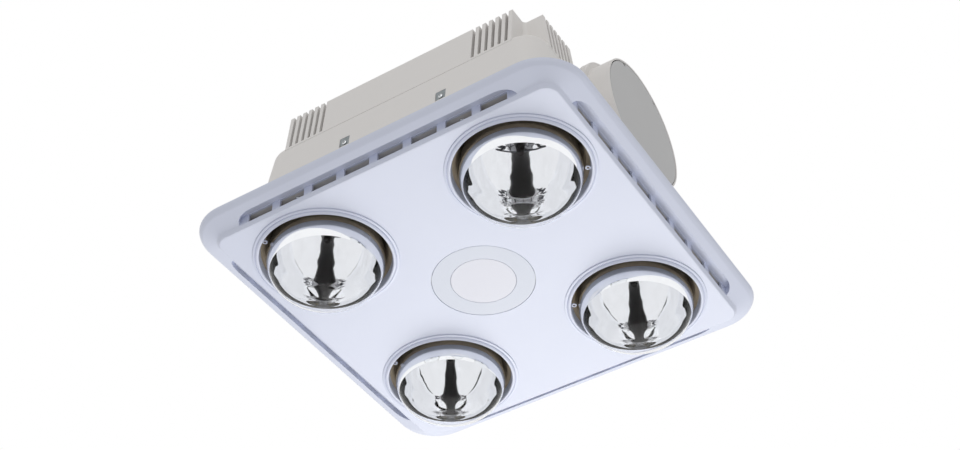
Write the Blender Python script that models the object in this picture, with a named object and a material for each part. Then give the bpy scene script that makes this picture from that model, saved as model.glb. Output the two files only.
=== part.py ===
"""A recessed ceiling unit with four heat lamps, an extractor fan and a downlight, at real size in metres.

The origin is the middle of the ceiling's underside, which the fascia's rim bears on. +Z goes up into the
ceiling space and +X goes out along the duct spigot.
"""

import math

import bmesh
import bpy
from mathutils import Matrix

# Gaps, overruns and smoothness
CLEARANCE = 0.0003
OVERRUN = 0.002
MERGE = 0.00001
ROUND_STEPS = 20
SMALL_STEPS = 12
SCREW_STEPS = 8
CORNER_STEPS = 4
SHARP_ANGLE = math.radians(35)

# Fascia panel and the rim round it
PANEL_MARGIN = 0.010
PANEL_CORNER = 0.015
PANEL_DROP = 0.018
PANEL_EDGE_OUT = 0.0024
PANEL_EDGE_RISE = 0.0046
FASCIA_WALL = 0.0025
RIM_OUT = 0.026
RIM_CORNER = 0.050
RIM_STRIP_IN = 0.005
RIM_STRIP_DROP = 0.006
RIM_ROUND_IN = 0.0015
RIM_ROUND_DROP = 0.003

# Sunk channels in the rim, and the air windows in their inner walls
CHANNEL_SET_IN = 0.0002
CHANNEL_WIDTH = 0.0108
CHANNEL_ROOF = 0.0024
CHANNEL_CORNER_GAP = 0.0363
CHANNEL_END = 0.0217
WINDOWS_PER_SIDE = 8
WINDOW_RIB = 0.0098
WINDOW_END_MARGIN = 0.011
WINDOW_SILL = 0.0006

# Lamps: where they stand, and their glass, stem and cap
LAMP_PITCH = 0.240
LAMP_PLACES = ((-1, -1), (1, -1), (1, 1), (-1, 1))
BULB_RADIUS = 0.0625
BULB_BELLY = -0.020
BULB_DOME = 0.045
BULB_DOME_POWER = 2.3
BULB_DOME_STEPS = 5
BULB_INNER_STEPS = 3
BULB_BACK = 0.108
BULB_BACK_SHARES = ((0.16, 0.938), (0.26, 0.869), (0.46, 0.720), (0.69, 0.530), (0.88, 0.360), (0.97, 0.305))
GLASS = 0.0012
NECK_HOLE = 0.012
STEM_SEAT = 0.006
STEM_FLARE_HEIGHT = 0.010
STEM_RADIUS = 0.0055
STEM_RISE = 0.034
FILAMENT_RADIUS = 0.016
FILAMENT_HEIGHT = 0.002
CAP_RADIUS = 0.0133
CAP_LENGTH = 0.024
CAP_SHEET = 0.0008
CAP_SHOULDER = 0.0035
CAP_TIP_RADIUS = 0.005
CAP_TIP = 0.0035

# Trim ring with its neck and eyelet
LAMP_ROOM = 0.0115
TRIM_FACE = 0.0035
TRIM_DEPTH = 0.003
TRIM_LIP = 0.0037
TRIM_NECK_RISE = 0.0032
TRIM_FACE_SHARES = ((0.93, 0.45), (0.68, 0.92), (0.38, 1.0), (0.10, 0.78))
EYE_RADIUS = 0.0033
EYE_HOLE = 0.0017
EYE_HEIGHT = 0.0016
EYE_SINK = 0.0006
EYE_ANGLES = (math.radians(233), math.radians(32), math.radians(206), math.radians(233))

# Recess bowls and lampholders
BOWL_SHEET = 0.0008
BOWL_FLANGE = 0.006
BOWL_LIP = 0.0005
BOWL_SHOULDER_IN = 0.004
BOWL_SHOULDER_RISE = 0.0043
BOWL_GAP = 0.0035
HOLDER_AROUND = 0.0049375
HOLDER_WALL = 0.003
HOLDER_WELL = 0.0055
HOLDER_ROOF = 0.0117
CAP_GAP = 0.0009
BAR_WIDTH = 0.024
BAR_SHEET = 0.002
BAR_TAB = 0.012

# Downlight
LED_TRIM_RADIUS = 0.0558
LED_TRIM_SHEET = 0.0016
LED_GLASS_RADIUS = 0.03515
LED_NECK_RADIUS = 0.044
LED_NECK_WALL = 0.004
LED_NECK_RISE = 0.006
LED_GLASS_FLANGE = 0.0012
SINK_FLANGE = 0.004
SINK_WALL = 0.0022
SINK_ROOF = 0.003
SINK_RADIUS = 0.042
SINK_CORE = 0.030
SINK_TOP = 0.020
SINK_FINS = 12
SINK_FIN_SHARE = 0.42
BOARD_RADIUS = 0.0375
BOARD_SHEET = 0.0016
DRIVER_PAST_RAIL = 0.0073
DRIVER_WIDTH = 0.035
DRIVER_HEIGHT = 0.022
DRIVER_TO_LAMP = 0.030
DRIVER_ROUND = 0.003

# Housing: skirt, shoulders, flange
SHEET = 0.0012
HOUSING_ROOM = 0.00136
HOUSING_DRAFT = 0.10
FLANGE_SHEET = 0.0025
SKIRT_CORNER = 0.0277
SHOULDER_ROUND = 0.008
SHOULDER_STEPS = 3

# Upper housing: cross-shaped box with notched corners and open slots
UPPER_HEIGHT = 0.0556
ROOF_SHEET = 0.0025
ARM_ROOM = 0.001
NOTCH_ROUND = 0.0045
NOTCH_STEPS = 3
LAP = 0.008
LAP_STEP = 0.0005
FIN_DEPTH = 0.006
SLOTS_PER_GROUP = 6
SLOT_WIDTH = 0.0038
SLOT_PITCH = 0.0082
SLOT_POST = 0.0047
SLOT_STAND = 0.004
SLOT_PAST = 0.001
PAD_MARGIN = 0.0025
RECESS_SET_IN = 0.02706
RECESS_SHOULDER = 0.057

# Chassis rails, seen through square windows, and the screws
RAIL_TO_LAMP = 0.0593
RAIL_WIDTH = 0.012
RAIL_HEIGHT = 0.0135
RAIL_BELOW_BARS = 0.05785
RAIL_SHEET = 0.0012
RAIL_END = 0.002
RAIL_SET_IN = 0.0008
SCREW_HEAD_RADIUS = 0.0026
SCREW_HEAD = 0.0014
SCREW_RADIUS = 0.0015
SCREW_LENGTH = 0.008
SCREW_DROP = 0.0015
FLANGE_SCREW_ALONG = 0.100
FLANGE_SCREW_EDGE = 0.0071
FLANGE_SCREW_HEAD_RADIUS = 0.0038
FLANGE_SCREW_HEAD = 0.0022
FLANGE_SCREW_RADIUS = 0.0018
FLANGE_SCREW_LENGTH = 0.012

# Fan: scroll, cover, impeller, shaft and motor
FAN_X = -0.020
OUTLET_HALF = 0.046
SCROLL_TO_LAMP = 0.020
SCROLL_GROWTH = 0.029
SCROLL_SHEET = 0.0015
SCROLL_HEADROOM = 0.001
SCROLL_STEPS = 15
INLET_LIP = 0.016
IMPELLER_GAP = 0.005
IMPELLER_END_GAP = 0.002
IMPELLER_DISC = 0.0015
BLADE_COUNT = 20
BLADE_DEPTH = 0.012
BLADE_SHEET = 0.0009
BLADE_LEAN = math.radians(35)
JOIN_SINK = 0.0005
HUB_RADIUS = 0.009
HUB_LENGTH = 0.018
SHAFT_RADIUS = 0.004
SHAFT_BELOW = 0.004
SHAFT_IN_MOTOR = 0.024
COVER_HOLE = 0.012
MOTOR_RADIUS = 0.034
MOTOR_HEIGHT = 0.035
MOTOR_STEP = 0.006
MOTOR_ROOM = 0.0037

# Outlet adaptor, spigot and backdraft flap
DUCT_DROP = 0.0586
DUCT_STEPS = 32
COLLAR_ROOM = 0.005
COLLAR_STAND = 0.012
COLLAR_DEPTH = 0.010
COLLAR_SHEET = 0.0025
COLLAR_GAP = 0.001
COLLAR_BAND = 0.007
SPIGOT_WALL = 0.002
SPIGOT_LENGTH = 0.026
ADAPTOR_PLATE = 0.0025
ADAPTOR_PLATE_MARGIN = 0.010
ADAPTOR_NECK_WALL = 0.003
FLAP_GAP = 0.0018
FLAP_SHEET = 0.0015
FLAP_SET_IN = 0.0003
FLAP_PIN_DROP = 0.012
FLAP_BARREL = 0.0024
FLAP_PIN_RADIUS = 0.0013
FLAP_PIN_SEAT = 0.00135
FLAP_EAR_ROOM = 0.00565
FLAP_EAR_DROP = 0.0032

# Terminal box on the side away from the duct
TERMINAL_HALF = 0.038
TERMINAL_HEIGHT = 0.036
TERMINAL_DROP = 0.0106
TERMINAL_DEPTH = 0.030
TERMINAL_WALL = 0.002
BLOCK_HALF = 0.024
BLOCK_WIDTH = 0.014
BLOCK_HEIGHT = 0.016
BLOCK_WELLS = 4
BLOCK_WELL_RADIUS = 0.0025
BLOCK_WELL_DEPTH = 0.004
GLAND_RADIUS = 0.007
GLAND_NUT_RADIUS = 0.011
GLAND_NUT_LENGTH = 0.008
GLAND_DOME_RADIUS = 0.0085
GLAND_DOME_LENGTH = 0.010
GLAND_BORE = 0.004

# Places worked out from the sizes above
LAMP_OUT = LAMP_PITCH / 2
LAMP_HOLE = BULB_RADIUS + LAMP_ROOM
TRIM_BORE = LAMP_HOLE - TRIM_LIP
PANEL_HALF = LAMP_OUT + LAMP_HOLE + PANEL_MARGIN
FASCIA_HALF = PANEL_HALF + RIM_OUT
PANEL_BACK = FASCIA_WALL - PANEL_DROP
WALL_FOOT_HALF = PANEL_HALF + PANEL_EDGE_OUT
CAVITY_HALF = WALL_FOOT_HALF - FASCIA_WALL
CAVITY_CORNER = PANEL_CORNER + PANEL_EDGE_OUT - FASCIA_WALL
CHANNEL_WALL = WALL_FOOT_HALF - CHANNEL_SET_IN
CHANNEL_HALF = PANEL_HALF - CHANNEL_CORNER_GAP
FLANGE_HALF = CAVITY_HALF - CLEARANCE
NECK_TOP = PANEL_BACK + TRIM_NECK_RISE
BOWL_LEDGE = NECK_TOP + CLEARANCE
GLASS_TOP = BULB_BELLY + BULB_BACK
STEM_TIP = BULB_BELLY + STEM_RISE
CAP_LOW = GLASS_TOP + CLEARANCE
CAP_TOP = CAP_LOW + CAP_LENGTH + CAP_TIP
BOWL_TOP = GLASS_TOP - HOLDER_WELL + CLEARANCE
HOLDER_LOW = BOWL_TOP + CLEARANCE
HOLDER_TOP = CAP_TOP + CLEARANCE + HOLDER_ROOF
BAR_LOW = HOLDER_TOP + CLEARANCE
HOLDER_RADIUS = BULB_RADIUS * BULB_BACK_SHARES[-1][1] + HOLDER_AROUND
HOUSING_FOOT_HALF = LAMP_OUT + BULB_RADIUS + HOUSING_ROOM + SHEET
ARM_HALF = LAMP_OUT + HOLDER_RADIUS + ARM_ROOM
RECESS_DEPTH = HOUSING_FOOT_HALF - RECESS_SET_IN
RECESS_HALF = ARM_HALF - RECESS_SHOULDER
RAIL_OUT = LAMP_OUT - RAIL_TO_LAMP
RAIL_LOW = BAR_LOW - RAIL_BELOW_BARS
RAIL_TOP = RAIL_LOW + RAIL_HEIGHT
SCROLL_LOW = RAIL_TOP + CLEARANCE
COVER_TOP = BAR_LOW - SCROLL_HEADROOM
COVER_LOW = COVER_TOP - SCROLL_SHEET
SCROLL_TOP = COVER_LOW - CLEARANCE
SCROLL_LARGE = LAMP_OUT - SCROLL_TO_LAMP
SCROLL_SMALL = SCROLL_LARGE - SCROLL_GROWTH
IMPELLER_RADIUS = SCROLL_SMALL - IMPELLER_GAP
INLET_RADIUS = IMPELLER_RADIUS - INLET_LIP
FAN_Y = OUTLET_HALF - SCROLL_LARGE
OUTLET_END = RECESS_DEPTH - SHEET - CLEARANCE
IMPELLER_LOW = SCROLL_LOW + SCROLL_SHEET + IMPELLER_END_GAP
IMPELLER_TOP = SCROLL_TOP - IMPELLER_END_GAP
MOTOR_LOW = COVER_TOP + CLEARANCE
MOTOR_TOP = MOTOR_LOW + MOTOR_HEIGHT
HOUSING_TOP = MOTOR_TOP + MOTOR_ROOM + ROOF_SHEET
SKIRT_TOP = HOUSING_TOP - UPPER_HEIGHT
SLOT_SILL = SKIRT_TOP + SLOT_STAND
DRIVER_HALF_LENGTH = RAIL_OUT + DRIVER_PAST_RAIL
DRIVER_NEAR = LAMP_OUT - DRIVER_TO_LAMP
TERMINAL_HIGH = HOUSING_TOP - TERMINAL_DROP
TERMINAL_LOW = TERMINAL_HIGH - TERMINAL_HEIGHT
DUCT_HEIGHT = HOUSING_TOP - DUCT_DROP
COLLAR_RADIUS = RECESS_HALF - COLLAR_ROOM
COLLAR_BACK = RECESS_DEPTH + COLLAR_STAND
COLLAR_FACE = COLLAR_BACK + COLLAR_DEPTH
SPIGOT_RADIUS = COLLAR_RADIUS - COLLAR_BAND
SPIGOT_END = COLLAR_FACE + SPIGOT_LENGTH
SPIGOT_BORE = SPIGOT_RADIUS - SPIGOT_WALL
FLAP_AXIS_X = SPIGOT_END - FLAP_SET_IN - FLAP_BARREL
FLAP_PIN_RISE = SPIGOT_RADIUS - FLAP_PIN_DROP
FLAP_AXIS_Z = DUCT_HEIGHT + FLAP_PIN_RISE
FLAP_CHORD_HALF = math.sqrt(SPIGOT_BORE**2 - FLAP_PIN_RISE**2)
FLAP_PIN_HALF = FLAP_CHORD_HALF + FLAP_PIN_SEAT
FLAP_EAR_HALF = FLAP_CHORD_HALF - FLAP_EAR_ROOM
TOWARD = {
    "X": Matrix.Rotation(math.radians(90), 3, "Y"),
    "Y": Matrix.Rotation(math.radians(-90), 3, "X"),
    "-Y": Matrix.Rotation(math.radians(90), 3, "X"),
}


def finish(name, color, roughness, metallic=0):
    """A plain material with the colour, roughness and metal of one finish."""
    material = bpy.data.materials.new(name)
    material.use_nodes = True
    shader = material.node_tree.nodes["Principled BSDF"]
    shader.inputs["Base Color"].default_value = (*color, 1)
    shader.inputs["Roughness"].default_value = roughness
    shader.inputs["Metallic"].default_value = metallic
    return material


def frame(name, place):
    """An empty that pieces are placed from."""
    empty = bpy.data.objects.new(name, None)
    empty.location = place
    bpy.context.scene.collection.objects.link(empty)
    return empty


def solid(name, shape, material, parent=None):
    """Puts a closed shape in the scene as one named object and gives it back."""
    bmesh.ops.recalc_face_normals(shape, faces=shape.faces)
    mesh = bpy.data.meshes.new(name)
    shape.to_mesh(mesh)
    shape.free()
    mesh.materials.append(material)
    mesh.shade_smooth()
    mesh.set_sharp_from_angle(angle=SHARP_ANGLE)
    piece = bpy.data.objects.new(name, mesh)
    piece.parent = parent
    bpy.context.scene.collection.objects.link(piece)
    return piece


def combine(piece, name, shape, operation):
    """Cuts a shape from a piece or joins it on, with the shape kept beside it as a wire helper."""
    tool = solid(name, shape, piece.data.materials[0], piece)
    tool.hide_render = True
    tool.display_type = "WIRE"
    change = piece.modifiers.new(name, "BOOLEAN")
    change.operation = operation
    change.object = tool


def cut(piece, name, shape):
    """Takes a shape out of a piece."""
    combine(piece, "cut_" + name, shape, "DIFFERENCE")


def join(piece, name, shape):
    """Joins a shape to a piece, which it overlaps."""
    combine(piece, "join_" + name, shape, "UNION")


def loft(rings, shape=None):
    """A closed shape through outlines of equal length, capped at both ends, or the same added to a shape."""
    if shape is None:
        shape = bmesh.new()
    loops = [[shape.verts.new(point) for point in ring] for ring in rings]
    for low, high in zip(loops, loops[1:]):
        for i in range(len(low)):
            after = (i + 1) % len(low)
            shape.faces.new((low[i], low[after], high[after], high[i]))
    shape.faces.new(loops[0][::-1])
    shape.faces.new(loops[-1])
    bmesh.ops.remove_doubles(shape, verts=shape.verts, dist=MERGE)
    return shape


def prism(outline, low, high, axis="Z", shape=None):
    """An outline carried straight from low to high along one axis."""
    rings = []
    for along in (low, high):
        spots = {
            "X": [(along, u, v) for u, v in outline],
            "Y": [(u, along, v) for u, v in outline],
            "Z": [(u, v, along) for u, v in outline],
        }
        rings.append(spots[axis])
    return loft(rings, shape)


def rectangle(low_u, high_u, low_v, high_v):
    """The four corners of a rectangle."""
    return [(low_u, low_v), (high_u, low_v), (high_u, high_v), (low_u, high_v)]


def circle(radius, steps, center=(0, 0)):
    """Points round a circle."""
    turns = [math.tau * i / steps for i in range(steps)]
    return [(center[0] + radius * math.cos(a), center[1] + radius * math.sin(a)) for a in turns]


def rounded_rectangle(half_u, half_v, corner):
    """A rectangle about the origin with round corners."""
    points = []
    for quarter, (side_u, side_v) in enumerate(((1, 1), (-1, 1), (-1, -1), (1, -1))):
        for i in range(CORNER_STEPS + 1):
            a = math.pi / 2 * (quarter + i / CORNER_STEPS)
            u = side_u * (half_u - corner) + corner * math.cos(a)
            v = side_v * (half_v - corner) + corner * math.sin(a)
            points.append((u, v))
    return points


def square_ring(half, corner, height):
    """A square outline with round corners at one height."""
    return [(x, y, height) for x, y in rounded_rectangle(half, half, corner)]


def quarter_turned(points, turns):
    """Plan points turned about the origin by quarter turns."""
    for _ in range(turns):
        points = [(-y, x) for x, y in points]
    return points


def turned(profile, steps, toward="Z"):
    """A turned shape. Its profile of radii and heights runs from axis to axis, or closes clear of it."""
    shape = bmesh.new()
    points = [shape.verts.new((radius, 0, height)) for radius, height in profile]
    edges = [shape.edges.new(pair) for pair in zip(points, points[1:])]
    if profile[0][0] > 0:
        edges.append(shape.edges.new((points[-1], points[0])))
    line = points + edges
    about = {"cent": (0, 0, 0), "axis": (0, 0, 1), "angle": math.tau}
    bmesh.ops.spin(shape, geom=line, steps=steps, use_merge=True, **about)
    bmesh.ops.remove_doubles(shape, verts=shape.verts, dist=MERGE)
    if toward in TOWARD:
        bmesh.ops.transform(shape, matrix=TOWARD[toward].to_4x4(), verts=shape.verts)
    return shape


def moved(shape, x, y, z):
    """The same shape, shifted."""
    bmesh.ops.translate(shape, vec=(x, y, z), verts=shape.verts)
    return shape


def half_at(height):
    """Half the housing's width at a height on its drafted faces."""
    return HOUSING_FOOT_HALF - HOUSING_DRAFT * height


def bulb_dome(radius, depth, steps):
    """The bulb's front from its tip to the belly, as radii and heights."""
    points = [(0, BULB_BELLY - depth)]
    for i in range(1, steps + 1):
        a = math.pi / 2 * i / steps
        out = math.sin(a) ** (2 / BULB_DOME_POWER)
        down = math.cos(a) ** (2 / BULB_DOME_POWER)
        points.append((radius * out, BULB_BELLY - depth * down))
    return points


def bulb_back(outward):
    """The bulb's back from belly to neck, moved outwards by a distance."""
    return [(BULB_RADIUS * out + outward, BULB_BELLY + BULB_BACK * up) for up, out in BULB_BACK_SHARES]


def make_fascia(white):
    """The white moulding: a proud panel in a sloped rim, with a channel of windows along each side."""
    rings = [
        square_ring(PANEL_HALF, PANEL_CORNER, -PANEL_DROP),
        square_ring(WALL_FOOT_HALF, PANEL_CORNER + PANEL_EDGE_OUT, PANEL_EDGE_RISE - PANEL_DROP),
        square_ring(FASCIA_HALF - RIM_STRIP_IN, RIM_CORNER - RIM_STRIP_IN, -RIM_STRIP_DROP),
        square_ring(FASCIA_HALF - RIM_ROUND_IN, RIM_CORNER - RIM_ROUND_IN, -RIM_ROUND_DROP),
        square_ring(FASCIA_HALF, RIM_CORNER, 0),
    ]
    fascia = solid("fascia", loft(rings), white)
    cavity = [square_ring(CAVITY_HALF, CAVITY_CORNER, height) for height in (PANEL_BACK, OVERRUN)]
    cut(fascia, "fascia_cavity", loft(cavity))
    bend = []
    for i in range(CORNER_STEPS + 1):
        a = math.pi / 2 * i / CORNER_STEPS
        along = CHANNEL_HALF - CHANNEL_END + CHANNEL_END * math.cos(a)
        bend.append((CHANNEL_WALL + CHANNEL_WIDTH * math.sin(a), along))
    channel = bend + [(out, -along) for out, along in reversed(bend)]
    channels = bmesh.new()
    windows = bmesh.new()
    window_span = 2 * (CHANNEL_HALF - WINDOW_END_MARGIN)
    window_pitch = (window_span + WINDOW_RIB) / WINDOWS_PER_SIDE
    sill = PANEL_EDGE_RISE - PANEL_DROP
    for side in range(4):
        prism(quarter_turned(channel, side), -PANEL_DROP - OVERRUN, -CHANNEL_ROOF, shape=channels)
        for i in range(WINDOWS_PER_SIDE):
            start = i * window_pitch - window_span / 2
            end = start + window_pitch - WINDOW_RIB
            hole = rectangle(CAVITY_HALF - OVERRUN, CHANNEL_WALL + OVERRUN, start, end)
            prism(quarter_turned(hole, side), sill, -CHANNEL_ROOF - WINDOW_SILL, shape=windows)
    cut(fascia, "fascia_channels", channels)
    cut(fascia, "fascia_windows", windows)
    trim_hole = circle(LED_TRIM_RADIUS + CLEARANCE, ROUND_STEPS)
    holes = prism(trim_hole, -PANEL_DROP - OVERRUN, PANEL_BACK + OVERRUN)
    for side_x, side_y in LAMP_PLACES:
        rim = circle(LAMP_HOLE, ROUND_STEPS, (side_x * LAMP_OUT, side_y * LAMP_OUT))
        prism(rim, -PANEL_DROP - OVERRUN, PANEL_BACK + OVERRUN, shape=holes)
    cut(fascia, "fascia_holes", holes)


def make_trim_ring(name, white, parent, eye_angle):
    """A round bead on the panel, with a neck through it and a small eyelet inside the neck."""
    foot = -PANEL_DROP - CLEARANCE
    outer = LAMP_HOLE + TRIM_FACE
    width = outer - TRIM_BORE
    profile = [(outer, foot)]
    profile += [(TRIM_BORE + width * out, foot - TRIM_DEPTH * down) for out, down in TRIM_FACE_SHARES]
    neck = LAMP_HOLE - CLEARANCE
    profile += [(TRIM_BORE, foot), (TRIM_BORE, NECK_TOP), (neck, NECK_TOP), (neck, foot)]
    ring = solid(name, turned(profile, ROUND_STEPS), white, parent)
    eye_low = NECK_TOP - EYE_HEIGHT - EYE_RADIUS / 2
    eye_profile = rectangle(EYE_HOLE, EYE_RADIUS, eye_low, eye_low + EYE_HEIGHT)
    reach = TRIM_BORE + EYE_SINK - EYE_RADIUS
    eye = turned(eye_profile, SMALL_STEPS)
    moved(eye, reach * math.cos(eye_angle), reach * math.sin(eye_angle), 0)
    join(ring, name + "_eyelet", eye)


def make_bowl(name, metal, parent):
    """A pressed bowl that seats on the panel's back round the ring's neck and follows the bulb's back."""
    foot = LAMP_HOLE + BOWL_LIP
    seat = PANEL_BACK + CLEARANCE
    shoulder = TRIM_BORE - CLEARANCE
    back = bulb_back(BOWL_GAP)[::2]
    inner = [(foot, seat), (foot, BOWL_LEDGE), (shoulder, BOWL_LEDGE)]
    inner += [(shoulder - BOWL_SHOULDER_IN, BOWL_LEDGE + BOWL_SHOULDER_RISE)]
    inner += back + [(back[-1][0] - BOWL_GAP / 2, BOWL_TOP)]
    ledge = BOWL_LEDGE + BOWL_SHEET
    outer = [(foot + BOWL_SHEET, ledge), (shoulder + BOWL_SHEET, ledge)]
    outer += [(radius + BOWL_SHEET, height) for radius, height in inner[3:]]
    edge = foot + BOWL_FLANGE
    flange = [(edge, seat), (edge, seat + BOWL_SHEET), (foot + BOWL_SHEET, seat + BOWL_SHEET)]
    solid(name, turned(inner + outer[::-1] + flange[::-1], ROUND_STEPS), metal, parent)


def make_lamp(number, glass, dark_glass, brass, parent):
    """One screw-in reflector lamp: its open-necked glass envelope, stem with filament, and cap."""
    outside = bulb_dome(BULB_RADIUS, BULB_DOME, BULB_DOME_STEPS)
    outside += bulb_back(0) + [(NECK_HOLE + GLASS, GLASS_TOP)]
    inside = bulb_dome(BULB_RADIUS - GLASS, BULB_DOME - GLASS, BULB_INNER_STEPS)
    inside += bulb_back(-GLASS)[1::3] + [(NECK_HOLE, GLASS_TOP)]
    solid(f"lamp_envelope_{number}", turned(outside + inside[::-1], ROUND_STEPS), glass, parent)
    seat = NECK_HOLE - CLEARANCE
    stem = [
        (0, GLASS_TOP + STEM_SEAT),
        (seat, GLASS_TOP + STEM_SEAT),
        (seat, GLASS_TOP - CLEARANCE),
        (STEM_RADIUS, GLASS_TOP - STEM_FLARE_HEIGHT),
        (STEM_RADIUS, STEM_TIP),
        (FILAMENT_RADIUS, STEM_TIP),
        (FILAMENT_RADIUS, STEM_TIP - FILAMENT_HEIGHT),
        (0, STEM_TIP - FILAMENT_HEIGHT),
    ]
    solid(f"lamp_stem_{number}", turned(stem, SMALL_STEPS), dark_glass, parent)
    shoulder = CAP_LOW + CAP_LENGTH - CAP_SHOULDER
    inside_radius = CAP_RADIUS - CAP_SHEET
    cap = [
        (0, CAP_TOP),
        (CAP_TIP_RADIUS, CAP_TOP),
        (CAP_TIP_RADIUS, CAP_LOW + CAP_LENGTH),
        (CAP_RADIUS, shoulder),
        (CAP_RADIUS, CAP_LOW),
        (inside_radius, CAP_LOW),
        (inside_radius, shoulder - CAP_SHEET),
        (0, shoulder - CAP_SHEET),
    ]
    solid(f"lamp_cap_{number}", turned(cap, SMALL_STEPS), brass, parent)


def make_holder(name, ceramic, parent):
    """A ceramic lampholder with a well for the bulb's neck and a bore for its cap."""
    well = HOLDER_RADIUS - HOLDER_WALL
    bore = CAP_RADIUS + CAP_GAP
    floor = GLASS_TOP + CLEARANCE
    profile = [
        (0, HOLDER_TOP),
        (HOLDER_RADIUS, HOLDER_TOP),
        (HOLDER_RADIUS, HOLDER_LOW),
        (well, HOLDER_LOW),
        (well, floor),
        (bore, floor),
        (bore, CAP_TOP + CLEARANCE),
        (0, CAP_TOP + CLEARANCE),
    ]
    solid(name, turned(profile, ROUND_STEPS), ceramic, parent)


def make_lamp_bar(name, steel, side):
    """A steel bar over two lampholders, with a tab turned up at each end against the housing."""
    end = half_at(BAR_LOW + BAR_TAB) - FIN_DEPTH - CLEARANCE
    inside = end - BAR_SHEET
    outline = [(-end, BAR_LOW), (end, BAR_LOW), (end, BAR_LOW + BAR_TAB), (inside, BAR_LOW + BAR_TAB)]
    outline += [(inside, BAR_LOW + BAR_SHEET), (-inside, BAR_LOW + BAR_SHEET)]
    outline += [(-inside, BAR_LOW + BAR_TAB), (-end, BAR_LOW + BAR_TAB)]
    middle = side * LAMP_OUT
    solid(name, prism(outline, middle - BAR_WIDTH / 2, middle + BAR_WIDTH / 2, "Y"), steel)


def make_downlight(white, opal, board_white, aluminium, grey):
    """The downlight: flush trim, round diffuser, board, finned heat sink and a driver on the rails."""
    face = -PANEL_DROP
    trim_back = face + LED_TRIM_SHEET
    neck_bore = LED_NECK_RADIUS - LED_NECK_WALL
    neck_top = trim_back + LED_NECK_RISE
    glass_edge = LED_GLASS_RADIUS + CLEARANCE
    trim = [(LED_TRIM_RADIUS, face), (LED_TRIM_RADIUS, trim_back), (LED_NECK_RADIUS, trim_back)]
    trim += [(LED_NECK_RADIUS, neck_top), (neck_bore, neck_top), (neck_bore, trim_back)]
    trim += [(glass_edge, trim_back), (glass_edge, face)]
    solid("led_trim", turned(trim, ROUND_STEPS), white)
    flange_low = trim_back + CLEARANCE
    flange_top = flange_low + LED_GLASS_FLANGE
    flange_edge = neck_bore - CLEARANCE
    diffuser = [(0, face), (LED_GLASS_RADIUS, face), (LED_GLASS_RADIUS, flange_low)]
    diffuser += [(flange_edge, flange_low), (flange_edge, flange_top), (0, flange_top)]
    solid("led_diffuser", turned(diffuser, ROUND_STEPS), opal)
    seat = PANEL_BACK + CLEARANCE
    hole = LED_NECK_RADIUS + CLEARANCE
    roof = neck_top + CLEARANCE
    sink = [(LED_TRIM_RADIUS + SINK_FLANGE, seat), (LED_TRIM_RADIUS + SINK_FLANGE, seat + SINK_WALL)]
    sink += [(hole + SINK_WALL, seat + SINK_WALL), (hole + SINK_WALL, roof + SINK_ROOF)]
    sink += [(0, roof + SINK_ROOF)]
    sink = [(0, roof), (hole, roof), (hole, seat)] + sink
    heat_sink = solid("led_heat_sink", turned(sink, ROUND_STEPS), aluminium)
    fin = ((0, SINK_CORE), (0, SINK_RADIUS), (SINK_FIN_SHARE, SINK_RADIUS), (SINK_FIN_SHARE, SINK_CORE))
    star = []
    for i in range(SINK_FINS):
        for share, radius in fin:
            a = math.tau * (i + share) / SINK_FINS
            star.append((radius * math.cos(a), radius * math.sin(a)))
    join(heat_sink, "heat_sink_fins", prism(star, roof + SINK_ROOF / 2, SINK_TOP))
    board_top = roof - CLEARANCE
    board = prism(circle(BOARD_RADIUS, ROUND_STEPS), board_top - BOARD_SHEET, board_top)
    solid("led_board", board, board_white)
    case = [(x, y + DRIVER_NEAR + DRIVER_WIDTH / 2) for x, y in driver_outline()]
    base = RAIL_TOP + CLEARANCE
    solid("led_driver", prism(case, base, base + DRIVER_HEIGHT), grey)


def driver_outline():
    """The driver's case in plan, with round corners."""
    return rounded_rectangle(DRIVER_HALF_LENGTH, DRIVER_WIDTH / 2, DRIVER_ROUND)


def shoulder_rings(wall):
    """The rounded top of the skirt's corners, as rings set in by a wall."""
    bend = SHOULDER_ROUND - wall
    rings = []
    for i in range(SHOULDER_STEPS + 1):
        a = math.pi / 2 * i / SHOULDER_STEPS
        height = SKIRT_TOP + bend * math.sin(a)
        inset = wall + bend - bend * math.cos(a)
        rings.append(square_ring(half_at(height) - inset, SKIRT_CORNER - inset, height))
    return rings


def cross_outline(half, arm, notch, steps):
    """A square with notched corners, in plan. Each side may be stepped in over its middle, to a depth."""
    outline = []
    for side, step in enumerate(steps):
        end = [(half, -arm), (half, arm)]
        if step:
            wide, depth = step
            end[1:1] = [(half, -wide), (depth, -wide), (depth, wide), (half, wide)]
        for i in range(NOTCH_STEPS + 1):
            a = math.pi * 3 / 2 - math.pi / 2 * i / NOTCH_STEPS
            end.append((arm + notch + notch * math.cos(a), arm + notch + notch * math.sin(a)))
        outline += quarter_turned(end, side)
    return outline


def flange_screw_places():
    """Where the eight screws go up through the flange, in plan."""
    edge = FLANGE_HALF - FLANGE_SCREW_EDGE
    pair = [(edge, -FLANGE_SCREW_ALONG), (edge, FLANGE_SCREW_ALONG)]
    return [place for side in range(4) for place in quarter_turned(pair, side)]


def rail_window():
    """The square hole that each rail's end shows through, as a rectangle about the rail's middle."""
    half_width = RAIL_WIDTH / 2 + CLEARANCE
    return rectangle(-half_width, half_width, RAIL_LOW - CLEARANCE, RAIL_TOP + CLEARANCE)


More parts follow.
